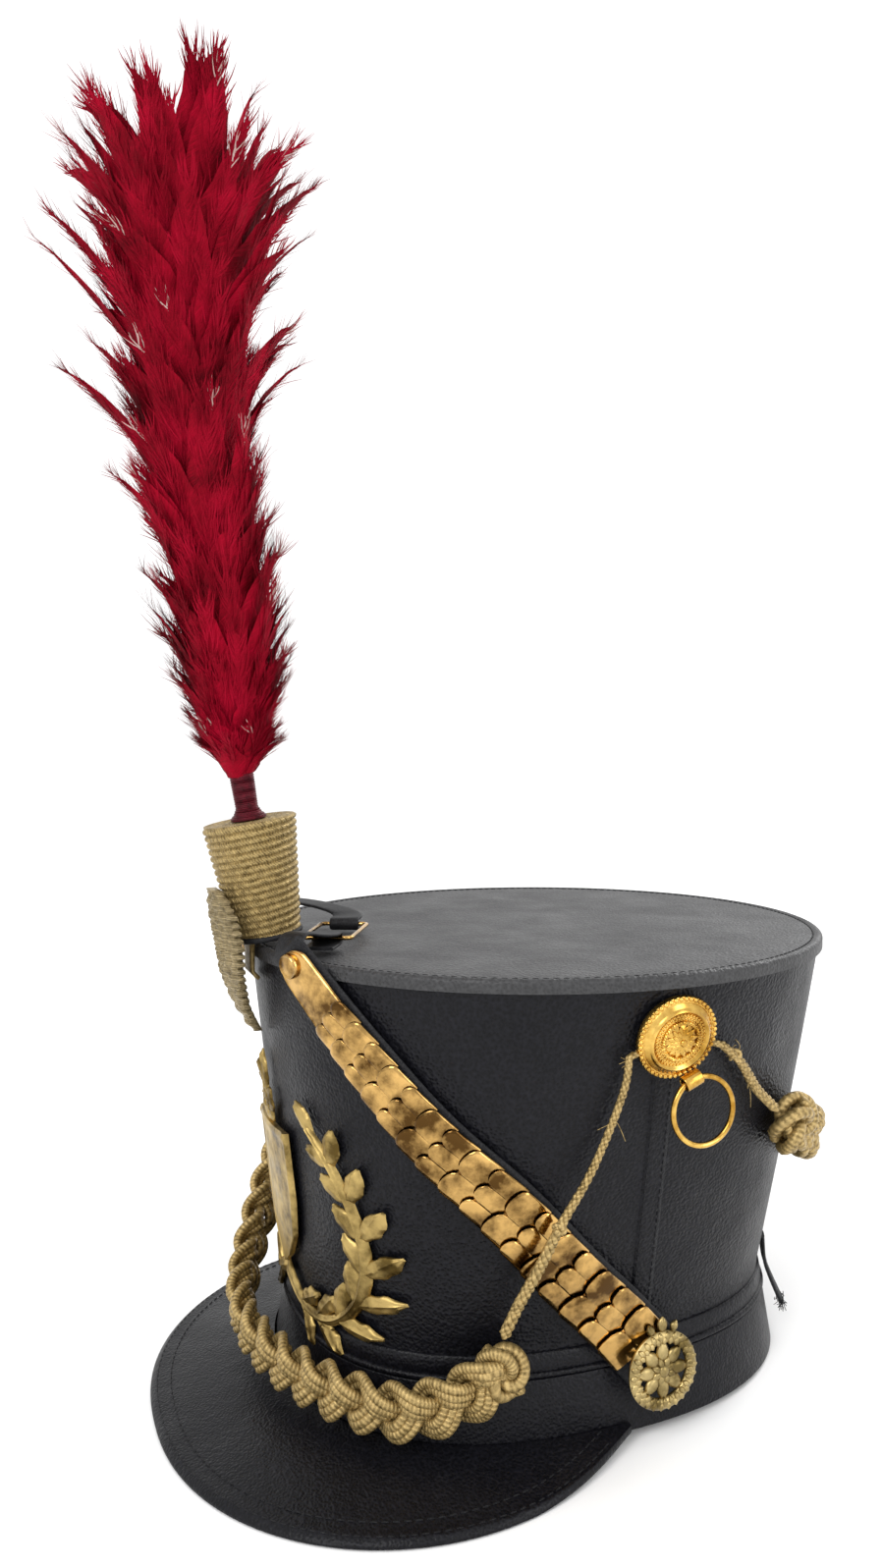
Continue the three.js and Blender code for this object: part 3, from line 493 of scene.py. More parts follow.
# ---- Materials ---------------------------------------------------------------------------------------
class Look:
    """A node material around one Principled shader."""

    def __init__(self, name, **sockets):
        self.material = bpy.data.materials.new(name)
        self.material.use_nodes = True
        self.tree = self.material.node_tree
        self.shader = self.tree.nodes["Principled BSDF"]
        for label, value in sockets.items():
            self.shader.inputs[label.replace("_", " ")].default_value = value
        self.place = self.node("ShaderNodeTexCoord").outputs["Object"]

    def node(self, kind, inputs=(), **settings):
        node = self.tree.nodes.new(kind)
        for label, value in settings.items():
            setattr(node, label, value)
        for label, value in dict(inputs).items():
            if isinstance(value, bpy.types.NodeSocket):
                self.tree.links.new(value, node.inputs[label])
            else:
                node.inputs[label].default_value = value
        return node

    def noise(self, scale, detail=4, roughness=0.55, vector=None):
        inputs = {"Scale": scale, "Detail": detail, "Roughness": roughness, "Vector": vector or self.place}
        return self.node("ShaderNodeTexNoise", inputs).outputs["Fac"]

    def cells(self, scale, vector=None):
        inputs = {"Scale": scale, "Vector": vector or self.place}
        return self.node("ShaderNodeTexVoronoi", inputs, feature="SMOOTH_F1").outputs["Distance"]

    def ramp(self, value, *stops):
        """Maps a value through (position, grey or colour) stops."""
        node = self.node("ShaderNodeValToRGB", {"Fac": value})
        ramp = node.color_ramp
        for _ in stops[2:]:
            ramp.elements.new(0.5)
        for element, (position, colour) in zip(ramp.elements, stops):
            element.position = position
            element.color = (*colour, 1) if hasattr(colour, "__len__") else (colour, colour, colour, 1)
        return node.outputs["Color"]

    def maths(self, operation, *values):
        return self.node("ShaderNodeMath", dict(enumerate(values)), operation=operation).outputs[0]

    def blend(self, first, first_share, second, second_share):
        """The sum of two values, each times its share."""
        parts = [self.maths("MULTIPLY", *part) for part in ((first, first_share), (second, second_share))]
        return self.maths("ADD", *parts)

    def bands(self, turns, waves):
        """A sine from -1 to 1 over the UVs: turns per unit across, waves per unit along."""
        coordinate = self.node("ShaderNodeTexCoord").outputs["UV"]
        slope = (2 * math.pi * turns, 2 * math.pi * waves, 0)
        phase = self.node("ShaderNodeVectorMath", {0: coordinate, 1: slope}, operation="DOT_PRODUCT")
        return self.maths("SINE", phase.outputs["Value"])

    def bump(self, height, depth, under=None):
        """Adds relief to the shader, in millimetres of depth over a 0 to 1 height."""
        inputs = {"Height": height, "Distance": depth * 0.001, "Strength": 1.0}
        if under is not None:
            inputs["Normal"] = under
        node = self.node("ShaderNodeBump", inputs)
        self.tree.links.new(node.outputs["Normal"], self.shader.inputs["Normal"])
        return node.outputs["Normal"]

    def drive(self, label, value):
        self.tree.links.new(value, self.shader.inputs[label])


def leather(name, dark, light, roughness, grain, pebble_depth, gloss=0.16):
    """Pebbled leather with soft wrinkles and worn shine."""
    look = Look(name, Specular_IOR_Level=gloss)
    pebbles = look.cells(grain)
    height = look.blend(pebbles, 1.0, look.noise(grain * 0.35, 3), 0.6)
    soft = look.bump(look.noise(26, 3), 1.2)
    look.bump(height, pebble_depth, soft)
    tone = look.blend(look.noise(60, 5), 0.25, pebbles, 0.8)
    look.drive("Base Color", look.ramp(tone, (0.3, dark), (0.75, light)))
    look.drive("Roughness", look.ramp(look.noise(35), (0.3, roughness - 0.07), (0.7, roughness + 0.09)))
    return look.material


def metal(name, dark, light, roughness, spread, dents, depth):
    """Sheet metal with patches of painted dark reflection in its colour, smudges in its roughness and slight
    unevenness.
    """
    look = Look(name, Metallic=1.0)
    uneven = look.bump(look.noise(dents, 2), depth)
    look.bump(look.noise(900, 3), depth * 0.06, uneven)
    # The colour's dark patches are painted reflection: they stand in for the dark surroundings that polished
    # brass mirrors, which the white world lacks.
    look.drive("Base Color", look.ramp(look.noise(75, 6, 0.62), (0.38, dark), (0.60, light)))
    look.drive("Roughness", look.ramp(look.noise(140, 5), (0.3, roughness), (0.75, roughness + spread)))
    return look.material


def gold_cord(name, dark, light, turns, waves, depth):
    """Twisted metal thread: slanting yarns over each cord, with fine filaments."""
    look = Look(name, Metallic=0.55)
    yarn = look.bands(turns, waves)
    thread = look.bands(turns * 4, waves * 4)
    filaments = look.bump(look.maths("MULTIPLY", thread, 0.5), depth * 0.35)
    look.bump(yarn, depth, filaments)
    # Partly painted light: the ramp's dark end is painted shade and its light end painted highlight, round
    # the thread's own gold in the middle. They are scattered by fine random noise and follow the yarn twist,
    # darker in the grooves and lighter on the crests.
    tone = look.blend(yarn, 0.09, look.noise(420, 5, 0.7), 1.0)
    middle = [0.5 * (a + b) for a, b in zip(dark, light)]
    look.drive("Base Color", look.ramp(tone, (0.28, dark), (0.5, middle), (0.8, light)))
    look.drive("Roughness", look.ramp(look.noise(800, 3), (0.3, 0.34), (0.7, 0.55)))
    return look.material


def feather(name, dark, middle, light):
    """Barbs seen as fine streaks that slant away from the feather's spine."""
    look = Look(name, Roughness=0.75, Specular_IOR_Level=0.08)
    coordinate = look.node("ShaderNodeTexCoord").outputs["UV"]
    parts = look.node("ShaderNodeSeparateXYZ", {"Vector": coordinate})
    across = look.maths("ABSOLUTE", parts.outputs["X"])
    slant = look.maths("SUBTRACT", parts.outputs["Y"], look.maths("MULTIPLY", across, 0.9))
    stretched = look.node("ShaderNodeCombineXYZ", {
        "X": look.maths("MULTIPLY", slant, 1.1), "Y": look.maths("MULTIPLY", across, 0.12),
    })
    streaks = look.noise(1.6, 5, 0.75, stretched.outputs["Vector"])
    # Partly painted light: the streaks' dark end is painted shade and their light end painted highlight,
    # round the feather's own crimson in the middle; the coarser noise adds random tone.
    tone = look.blend(streaks, 0.55, look.noise(55, 3), 0.5)
    look.drive("Base Color", look.ramp(tone, (0.36, dark), (0.52, middle), (0.7, light)))
    look.bump(streaks, 0.35)
    return look.material


LEATHER = leather("pebbled_leather", (0.0025, 0.0025, 0.0035), (0.008, 0.008, 0.011), 0.40, 900, 0.42)
# The top's leather is the wall's black painted lighter: a painted reflection standing in for the grey the top
# shows at a grazing angle to its bright surroundings.
TOP_LEATHER = leather("top_leather", (0.014, 0.014, 0.015), (0.034, 0.034, 0.036), 0.50, 1000, 0.45, 0.45)
BAND_LEATHER = leather("band_leather", (0.0025, 0.0025, 0.0035), (0.008, 0.008, 0.011), 0.36, 1050, 0.26)
STRAP_LEATHER = leather("strap_leather", (0.006, 0.006, 0.007), (0.020, 0.020, 0.022), 0.5, 1500, 0.08)
THREAD = leather("black_thread", (0.006, 0.006, 0.007), (0.026, 0.026, 0.028), 0.55, 3000, 0.05)
POLISHED = metal("polished_brass", (0.085, 0.043, 0.012), (0.62, 0.38, 0.125), 0.09, 0.13, 55, 0.4)
PLATE_BRASS = metal("stamped_brass", (0.10, 0.065, 0.018), (0.46, 0.33, 0.12), 0.34, 0.18, 160, 0.35)
PALE_BRASS = metal("pale_brass", (0.14, 0.10, 0.035), (0.52, 0.40, 0.18), 0.26, 0.18, 160, 0.3)
GILT = metal("bright_gilt", (0.34, 0.17, 0.022), (0.78, 0.50, 0.125), 0.17, 0.1, 120, 0.12)
GOLD_CORD = gold_cord("gold_cord", (0.13, 0.084, 0.022), (0.60, 0.43, 0.175), 1, 0.62, 0.09)
CUP_CORD = gold_cord("cup_cord", (0.11, 0.072, 0.020), (0.56, 0.41, 0.17), 90, 0.35, 0.12)
COCKADE_THREAD = gold_cord("cockade_thread", (0.13, 0.095, 0.04), (0.62, 0.49, 0.27), 0.9, 0.9, 0.3)
CRIMSON = feather("crimson_feather", (0.045, 0.0, 0.002), (0.225, 0.0004, 0.0095), (0.44, 0.001, 0.023))
CRIMSON_TIP = feather("crimson_barb", (0.08, 0.0, 0.003), (0.24, 0.0006, 0.011), (0.45, 0.003, 0.027))
PALE_TIP = feather("pale_barb", (0.30, 0.16, 0.14), (0.52, 0.36, 0.33), (0.75, 0.62, 0.58))
MAROON = gold_cord("maroon_thread", (0.035, 0.001, 0.004), (0.20, 0.006, 0.022), 0, 1.1, 0.25)

# ---- Camera, floor and lights ------------------------------------------------------------------------
CAMERA_AT = (0.4473, -0.1796, 0.26116)
CAMERA_RIGHT = (0.3540, 0.9340, -0.0492)
CAMERA_UP = (-0.0016, 0.0533, 0.9986)
CAMERA_SHIFT = (0.0015, -0.0221)
LENS = 26.24
SENSOR_WIDTH = 36
FLOOR_REACH = 6.0                   # metres, as all in this part of the script
WORLD_STRENGTH = 1.12
# Name, place, target, size and power of each light.
LIGHTS = (
    ("key", (0.9, -1.1, 1.3), (0, 0, 0.2), (0.9, 0.9), 14),
    ("side", (1.5, 0.7, 0.7), (0, 0, 0.15), (0.6, 1.2), 8),
    ("rim", (-0.6, 1.4, 1.1), (0, 0, 0.2), (0.8, 0.8), 10),
)


def aim(item, right, up, back, place):
    """Stands a camera or a light at a place, looking away from back."""
    pose = np.eye(4)
    pose[:3] = stack(right, up, back, place)
    item.matrix_world = Matrix(pose.tolist())


def add_camera():
    data = bpy.data.cameras.new("camera")
    data.lens = LENS
    data.sensor_width = SENSOR_WIDTH
    data.shift_x, data.shift_y = CAMERA_SHIFT
    data.clip_start = 0.01
    camera = link("camera", data)
    right = unit(np.array(CAMERA_RIGHT))
    back = unit(np.cross(right, CAMERA_UP))
    aim(camera, right, np.cross(back, right), back, CAMERA_AT)
    bpy.context.scene.camera = camera


def add_floor():
    mesh = bpy.data.meshes.new("floor")
    corners = [(FLOOR_REACH * x, FLOOR_REACH * y, 0) for x, y in ((-1, -1), (1, -1), (1, 1), (-1, 1))]
    mesh.from_pydata(corners, [], [(0, 1, 2, 3)])
    look = Look("floor", Roughness=0.9)
    look.drive("Base Color", look.ramp(look.noise(3, 3), (0.3, 0.92), (0.7, 0.94)))
    mesh.materials.append(look.material)
    link("floor", mesh)


def add_light(name, place, target, size, power):
    data = bpy.data.lights.new(name, "AREA")
    data.shape = "RECTANGLE"
    data.size, data.size_y = size
    data.energy = power
    back = unit(np.subtract(place, target))
    right = unit(np.cross(UP, back))
    aim(link(name, data), right, np.cross(back, right), back, place)


def add_world():
    sky = bpy.data.worlds.new("studio")
    sky.use_nodes = True
    background = sky.node_tree.nodes["Background"]
    background.inputs["Color"].default_value = (1, 1, 1, 1)
    background.inputs["Strength"].default_value = WORLD_STRENGTH
    bpy.context.scene.world = sky
    bpy.context.scene.view_settings.view_transform = "Standard"


add_camera()
add_floor()
add_world()
for light in LIGHTS:
    add_light(*light)


# ---- Cords and plaits --------------------------------------------------------------------------------
def twisted(shape, line, radius, strands=3, pitch=8.0, sides=6):
    """Adds a cord of strands laid round a line."""
    line = resampled(line, 0.8)
    radius = np.interp(np.linspace(0, 1, len(line)), np.linspace(0, 1, len(radius)), radius)
    side, lift = frames(line)
    turn = distances(line) * 2 * np.pi / pitch
    for k in range(strands):
        phase = (turn + 2 * np.pi * k / strands)[:, None]
        offset = (np.cos(phase) * side + np.sin(phase) * lift) * (0.48 * radius)[:, None]
        shape.rod(tube(line + offset, 0.56 * radius, sides))


def plait(shape, line, half_width=6.6, depth=3.4, pitch=42.0):
    """Adds three flat strands, each of three cords, plaited along a line beside the wall."""
    line = resampled(line, 1.1)
    facing = wall_normal(np.maximum(line, ABOVE_BANDS))
    side, lift = frames(line, facing)
    turn = distances(line) * 2 * np.pi / pitch
    for k in range(3):
        phase = turn + 2 * np.pi * k / 3
        sway = half_width * np.sin(phase)
        rise = depth * np.sin(2 * phase)
        middle = line + side * sway[:, None] + lift * rise[:, None]
        run = tangents(middle)
        flat = unit(np.cross(lift, run))
        for lane in (-1, 0, 1):
            crown = 0.55 * (1 - abs(lane)) - 0.2
            shape.rod(tube(middle + flat * 2.55 * lane + lift * crown, 1.85, 8))


def knot(shape, centre, axes, size=5.2, thickness=2.2, turns=(3, 4), flat=0.72):
    """Adds a round button knot: one cord woven over itself round a ball."""
    turn = circle(150)
    rounds, lobes = turns
    reach = size + 0.62 * size * np.cos(lobes * turn)
    line = stack(
        reach * np.cos(rounds * turn), reach * np.sin(rounds * turn), flat * size * np.sin(lobes * turn),
    )
    line = np.asarray(centre) + line @ np.asarray(axes)
    line = np.vstack([line, line[:1]])
    shape.ring(tube(line, thickness, 8))
    core = ball((0, 0, 0), size * 1.05, flat, rows=8, segments=12)
    shape.rod(np.asarray(centre) + core @ np.asarray(axes))


def knot_axes(line, index):
    side, lift = frames(line, wall_normal(line))
    tangent = tangents(line)
    return np.array([tangent[index], side[index], lift[index]])


def strays(shape, centre, direction, count, length, spread, radius=0.14):
    """Adds loose threads that spring from one place."""
    for _ in range(count):
        start = centre + rng.normal(0, 0.8, 3)
        way = unit(np.asarray(direction, float) + rng.normal(0, spread, 3))
        bend = rng.normal(0, 0.35, 3)
        reach = length * rng.uniform(0.4, 1.0)
        t = np.linspace(0, 1, 6)[:, None]
        shape.rod(tube(start + way * reach * t + bend * reach * t ** 2, radius, 4))


def hang(shape, name, replaced, line):
    """Builds a cord's piece and works out its path's start and length, which are not kept; both its ends go
    back into the hat.
    """
    piece = shape.build(name, GOLD_CORD, "gold_thread", replaces=[replaced], crease=0)
    path = world(line)
    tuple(path[0])
    distances(path)[-1]


def add_plait(name, rows, knots):
    """Adds a plaited festoon with (index, size, turns) knots."""
    line = route(rows)
    shape = Shape()
    plait(shape, line)
    for index, size, turns in knots:
        knot(shape, line[index], knot_axes(line, index), size=size, turns=turns)
    hang(shape, name, name.replace("_braid", "_plait"), line)


def add_cord(name, line, radius, knot_share, knot_size):
    """Adds a twisted cord with a small knot at a share of its length."""
    shape = Shape()
    twisted(shape, line, radius)
    index = int(knot_share * (len(line) - 1))
    knot(shape, line[index], knot_axes(line, index), knot_size, knot_size * 0.62, turns=(2, 3), flat=0.9)
    hang(shape, name, name.replace("_strand", "_cord"), line)


add_plait("front_braid", FRONT_FESTOON, [(2, 5.0, (3, 4)), (-3, 4.4, (3, 4))])
add_plait("rear_braid", REAR_FESTOON, [(5, 6.2, (3, 4)), (-6, 6.2, (3, 4))])
add_cord("front_strand_left", route(FRONT_CORD_LEFT), (1.35, 1.35, 1.4, 1.5, 1.95, 2.05, 2.1), 0.60, 1.25)
add_cord("front_strand_right", route(FRONT_CORD_RIGHT), (1.35, 1.4, 1.5, 2.0, 2.05), 0.62, 1.25)
add_cord("rear_strand_left", route(REAR_CORD_LEFT), (1.5, 1.9, 1.9), 0.2, 1.2)
add_cord("rear_strand_right", mirrored(route(REAR_CORD_LEFT)), (1.5, 1.9, 1.9), 0.2, 1.2)


def add_frays():
    """Loose threads on the thin cords, and the ends of the cords that go in under the bosses."""
    front, rear = route(FRONT_CORD_LEFT), route(REAR_CORD_LEFT)
    shape = Shape()
    for line, at, direction, count, length in (
        (front, 0.02, (0.2, -0.9, 0.4), 5, 6), (front, 0.22, (0, 0.5, -0.6), 2, 6),
        (rear, 0.2, (0.3, 0.2, 1), 7, 6), (rear, 0.55, (0.6, 0.4, -1), 5, 7),
    ):
        strays(shape, line[int(at * (len(line) - 1))], direction, count, length, 0.55)
    for line, angle, z in ((front, 85.0, 145.6), (rear, 96.0, 146.2)):
        lead = np.array([line[3], line[0], 0.5 * (line[0] + on_wall(angle, z, 2.4)), on_wall(angle, z, 1.2)])
        twisted(shape, spline(lead), (1.35, 1.2, 1.1), pitch=6.0)
    shape.mirror().build("cord_frays", GOLD_CORD, "gold_thread", crease=0)


add_frays()


# ---- Crown, bands and peak ---------------------------------------------------------------------------
def add_crown():
    levels = np.linspace(1, WALL_TOP, 30)
    profile = [(0, z) for z in levels] + [(-WALL_THICKNESS, z) for z in levels[::-1]]
    shape = Shape().ring(wall_ring(profile))
    shape.build("wall", LEATHER, "black_leather", replaces=["crown_wall"])


def add_seam_strips():
    height, middle, half = [
        np.linspace(foot, top, 40)[:, None]
        for foot, top in ((UPPER_BAND_TOP + 0.6, WALL_TOP - 1.5), SEAM_ANGLE, SEAM_HALF_WIDTH)
    ]
    u = np.linspace(-1, 1, 13)
    rise = 0.68 * (1 - np.abs(u) ** 6)
    angle = middle + u * half
    strip = Shape().solid(on_wall(angle, height, 0.06 + rise), on_wall(angle, height, -0.4))
    strip.mirror().build("seam_strips", LEATHER, "black_leather")
    seam = Shape()
    for u, stand in ((0.62, 0.70), (-0.80, 0.62)):
        line = on_wall(middle + u * half, height, stand)[:, 0]
        stitches(seam, line, wall_normal(line), 2.0, 1.0, 0.26)
    seam.mirror().build("seam_stitches", THREAD, "black_leather")


def add_top():
    foot = RIM_HEIGHT - RIM_DROP
    edge = [(RIM_RADIUS - 1.2, foot), (RIM_RADIUS, foot + 0.1)]
    roll = [
        (RIM_RADIUS - 1.7 + ROLL_RADIUS * math.cos(a), RIM_HEIGHT + ROLL_RADIUS * (math.sin(a) - 1))
        for a in np.linspace(-0.2, math.pi / 2, 8)
    ]
    groove = [(117.4, 170.8), (116.8, 170.55), (116.3, 170.35), (115.8, 170.5), (115, 170.5)]
    disc = [(r, 170.45 - 0.25 * math.cos(r / 36)) for r in np.linspace(112, 0.5, 24)]
    under = [(0.5, WALL_TOP + 0.6), (RIM_RADIUS - 1.4, WALL_TOP + 0.6), edge[0]]
    rows = lathe([*edge, *roll, *groove, *disc, *under], 240) + (0, RIM_CENTRE, 0)
    Shape().ring(rows).build("top_disc", TOP_LEATHER, "black_leather", replaces=["crown_top"])
    turn = np.linspace(0, 2 * np.pi, 500)
    x, y = TOP_SEAM_RADIUS * np.cos(turn), TOP_SEAM_RADIUS * np.sin(turn) + RIM_CENTRE
    line = stack(x, y, TOP_SEAM_HEIGHT)
    seam = Shape()
    stitches(seam, line, np.broadcast_to(UP, line.shape), 2.4, 1.0, 0.3)
    seam.build("top_stitches", THREAD, "black_leather")


def add_bands():
    lower = rounded([(0.3, 0), (LOWER_BAND_FOOT, 0), (1.5, LOWER_BAND_HEIGHT), (0.3, LOWER_BAND_HEIGHT)], 0.7)
    piping = [
        (1.1 + 1.2 * math.cos(a), UPPER_BAND_FOOT + 1.15 + 1.15 * math.sin(a))
        for a in np.linspace(-1.6, 1.45, 10)
    ]
    upper = [
        (0.3, UPPER_BAND_FOOT), *piping, (1.25, 26.0), (1.4, 26.6), (1.45, 28.5), (1.3, 31.2), (1.0, 31.8),
        (0.6, UPPER_BAND_TOP), (0.3, UPPER_BAND_TOP),
    ]
    for name, node, profile in (("wide_band", "lower_band", lower), ("narrow_band", "upper_band", upper)):
        Shape().ring(wall_ring(profile)).build(name, BAND_LEATHER, "black_leather", replaces=[node])


def peak_depth(turn):
    return PEAK_LEAST_DEPTH + PEAK_DEPTH * (1 - np.abs(turn) ** 2.52) ** 1.1


def peak_point(turn, out):
    """A point of the peak's underside: turn from -1 to 1 round the front, out from root to edge."""
    depth = peak_depth(turn)
    angle = turn * PEAK_HALF_ANGLE
    root = LOWER_BAND_FOOT + PEAK_GAP
    edge = on_wall(angle, 0, root + depth)
    heel = on_wall(180, 0, LOWER_BAND_FOOT)[1]
    floor = (edge[..., 1] - heel) * math.tan(math.radians(REST_TILT))
    drop = np.maximum(floor, PEAK_ROOT - depth * math.tan(math.radians(PEAK_MAX_SLOPE)))
    foot = on_wall(angle, 0, root + depth * out)
    foot[..., 2] = PEAK_ROOT + (drop - PEAK_ROOT) * out
    return foot


def add_peak():
    turn = np.linspace(-1, 1, 121)[:, None]
    out = np.array([0, 0.1, 0.2, 0.3, 0.4, 0.5, 0.6, 0.7, 0.78, 0.84, 0.89, 0.93, 0.96, 0.98, 0.992, 1])
    under = peak_point(turn, out)
    edge = np.clip((out - 0.93) / 0.07, 0, 1) ** 3
    puff = 0.35 * np.exp(-(((out - 0.94) / 0.03) ** 2)) * (1 - np.abs(turn) ** 6)
    top = under + UP * (PEAK_THICKNESS - 1.1 * edge + puff)[..., None]
    low = under + UP * (0.7 * edge)[:, None]
    Shape().solid(top, low).build("visor", BAND_LEATHER, "black_leather", replaces=["peak"])
    seam = Shape()
    turn = np.linspace(-0.93, 0.93, 400)
    for inset, rise in zip(PEAK_SEAM_INSETS, (0.12, 0)):
        line = peak_point(turn, 1 - inset / np.maximum(peak_depth(turn), inset + 1))
        line = line + UP * (PEAK_THICKNESS + rise)
        stitches(seam, line, np.broadcast_to(UP, line.shape), 2.5, 1.2, 0.3)
    seam.build("visor_stitches", THREAD, "black_leather")


# ---- Straps and scales -------------------------------------------------------------------------------
STRAP_LINE = route(STRAP_ROUTE, 0.5)
STRAP_AT = distances(STRAP_LINE)
STRAP_LENGTH = STRAP_AT[-1]
STRAP_TANGENT = tangents(STRAP_LINE)
STRAP_FACING = wall_normal(np.maximum(STRAP_LINE, ABOVE_BANDS))
STRAP_ACROSS, STRAP_NORMAL = frames(STRAP_LINE, STRAP_FACING)


def scale_width(distance):
    return WIDEST_SCALE - SCALE_NARROWING * np.clip(distance / STRAP_LENGTH, 0, 1) ** 1.5


def strap_point(distance, across, lift):
    """A point of the left strap: along it from the roundel, across it upwards, and off it."""
    distance, across, lift = np.broadcast_arrays(np.asarray(distance, float), across, lift)
    inside = np.clip(distance, 0, STRAP_LENGTH)
    bulge = SCALE_BULGE * (2 * across / scale_width(distance)) ** 2
    return (
        sampled(inside, STRAP_AT, STRAP_LINE)
        + sampled(inside, STRAP_AT, STRAP_TANGENT) * (distance - inside)[..., None]
        + sampled(inside, STRAP_AT, STRAP_ACROSS) * across[..., None]
        + sampled(inside, STRAP_AT, STRAP_NORMAL) * (lift - bulge)[..., None]
    )


def scale_start(index):
    start, pitch = FIRST_SCALE_AT, FIRST_PITCH
    for i in range(index):
        start += pitch
        pitch = FIRST_PITCH + (LAST_PITCH - FIRST_PITCH) * (i + 1) / (SCALES_A_SIDE - 1)
    return start, pitch


def scale_grid(index):
    """Top and bottom grids of one scale with a lobed free edge and a rolled rim."""
    start, pitch = scale_start(index)
    lobes = 2 if index % 2 == 0 else 3
    half = scale_width(start + pitch / 2) / 2
    turn = np.linspace(np.pi, 0, 9)
    columns = np.concatenate([(2 * k + 1 - lobes) / lobes + np.cos(turn) / lobes for k in range(lobes)])
    swell = np.tile(np.sin(turn), lobes)
    across = columns * half
    reach = pitch - 0.6 + (SCALE_LAP + 0.6) * swell
    v = np.array([0, 0.2, 0.4, 0.6, 0.74, 0.85, 0.93, 0.975, 1.0])[:, None]
    along = start + v * reach[None, :]
    rim = np.clip((v - 0.93) / 0.07, 0, 1) ** 2 + np.clip((np.abs(columns) - 0.93) / 0.07, 0, 1)[None, :] ** 2
    dome = 0.42 * swell[None, :] ** 0.8 * np.sin(np.clip(v, 0, 1) * np.pi * 0.86) ** 1.5
    base = SCALE_LIFT + SCALE_RISE * v * reach[None, :]
    top = strap_point(along, across[None, :], base + SCALE_THICKNESS + dome - 0.42 * np.clip(rim, 0, 1))
    low = strap_point(along, across[None, :], base + 0.1 + 0.5 * dome)
    return top, low


def add_scales(side):
    for index in range(SCALES_A_SIDE):
        number = f"{index + 1:02d}"
        Shape().solid(*scale_grid(index)).on(side).build(
            f"{side}_chin_scale_{number}", POLISHED, "brass", replaces=[f"scale_{side}_{number}"], crease=50)


def add_end_plate(side):
    start = sum(scale_start(SCALES_A_SIDE - 1))
    length = STRAP_LENGTH + 1.5 - start
    half = scale_width(STRAP_LENGTH) / 2 - 0.2
    v = np.concatenate([np.linspace(0, 0.45, 8), np.sin(np.linspace(0.3, np.pi / 2, 14))])
    v = np.unique(np.clip(v, 0, 0.9999))[:, None]
    corner = half - 1
    beyond = np.clip((v * length - (length - corner)) / corner, 0, 0.995)
    width = half * np.sqrt(1 - beyond ** 2)
    u = np.array([-1, -0.965, -0.92, -0.87, -0.8, -0.4, 0, 0.4, 0.8, 0.87, 0.92, 0.965, 1])[None, :]
    lip = 0.3 * np.exp(-(((np.abs(u) - 0.93) / 0.035) ** 2))
    edge = 0.35 * (np.abs(u) > 0.99)
    top = strap_point(start + v * length, u * width, SCALE_LIFT + 1.05 + lip - edge)
    low = strap_point(start + v * length, u * width, SCALE_LIFT + 0.45)
    shape = Shape().solid(top, low)
    seat = int(np.interp(STRAP_LENGTH - 3, STRAP_AT, np.arange(len(STRAP_AT))))
    axes = np.array([STRAP_ACROSS[seat], STRAP_TANGENT[seat], STRAP_NORMAL[seat]])
    basis = STRAP_LINE[seat] + axes[2] * (SCALE_LIFT + 0.4), axes
    stud = [
        (4.6, 0), (4.7, 0.9), (4.55, 1.9), (4.2, 2.25), (3.85, 2.2), (3.6, 1.85), (3.3, 1.8), (2.4, 1.95),
        (1.2, 2.1), (0.05, 2.15),
    ]
    shape.rod(placed(lathe(stud, 48), basis))
    shape.on(side).build(f"{side}_strap_plate", POLISHED, "brass", replaces=[f"end_plate_{side}"], crease=50)


def ribbon(shape, points, facing, width, bulge, thickness):
    """Adds a strap with rounded edges through stations."""
    across, normal = frames(points, facing)
    u = np.array([-1, -0.97, -0.88, -0.5, 0, 0.5, 0.88, 0.97, 1])
    edge = 0.5 * thickness * np.array([0.25, 0.75, 1, 1, 1, 1, 1, 0.75, 0.25])
    side = across[:, None] * (u * width[:, None] / 2)[..., None]
    drop = bulge[:, None] * u ** 2
    middle = points[:, None] + side
    shape.solid(*(middle + normal[:, None] * (lift - drop)[..., None] for lift in (edge, -edge)))


LOOP_CENTRE = np.array([10.0, -87.0, 175.0])
LOOP_HALF_LENGTH, LOOP_HALF_WIDTH = 17, 9.5
LOOP_TURN = math.radians(-28)
LOOP_LONG = np.array([math.cos(LOOP_TURN), math.sin(LOOP_TURN), 0])
LOOP_WIDE = np.array([-math.sin(LOOP_TURN), math.cos(LOOP_TURN), 0])
FOLD_RADIUS = 1.95
TONGUE_WIDTH = 12


def fold_rows(side, back_length):
    """Points and facings of a strap end that folds round one bar of the wire loop."""
    bar = LOOP_CENTRE + LOOP_LONG * side * LOOP_HALF_LENGTH
    rows = [(bar + LOOP_LONG * side * 6 + UP * (FOLD_RADIUS + 0.3), UP)]
    for turn in np.linspace(0, np.pi, 9):
        facing = -LOOP_LONG * side * math.sin(turn) + UP * math.cos(turn)
        rows.append((bar + FOLD_RADIUS * facing, facing))
    for share, lift in ((0.5, 0.1), (1.0, 0.4)):
        rows.append((bar + LOOP_LONG * side * back_length * share + UP * (lift - FOLD_RADIUS), -UP))
    return rows


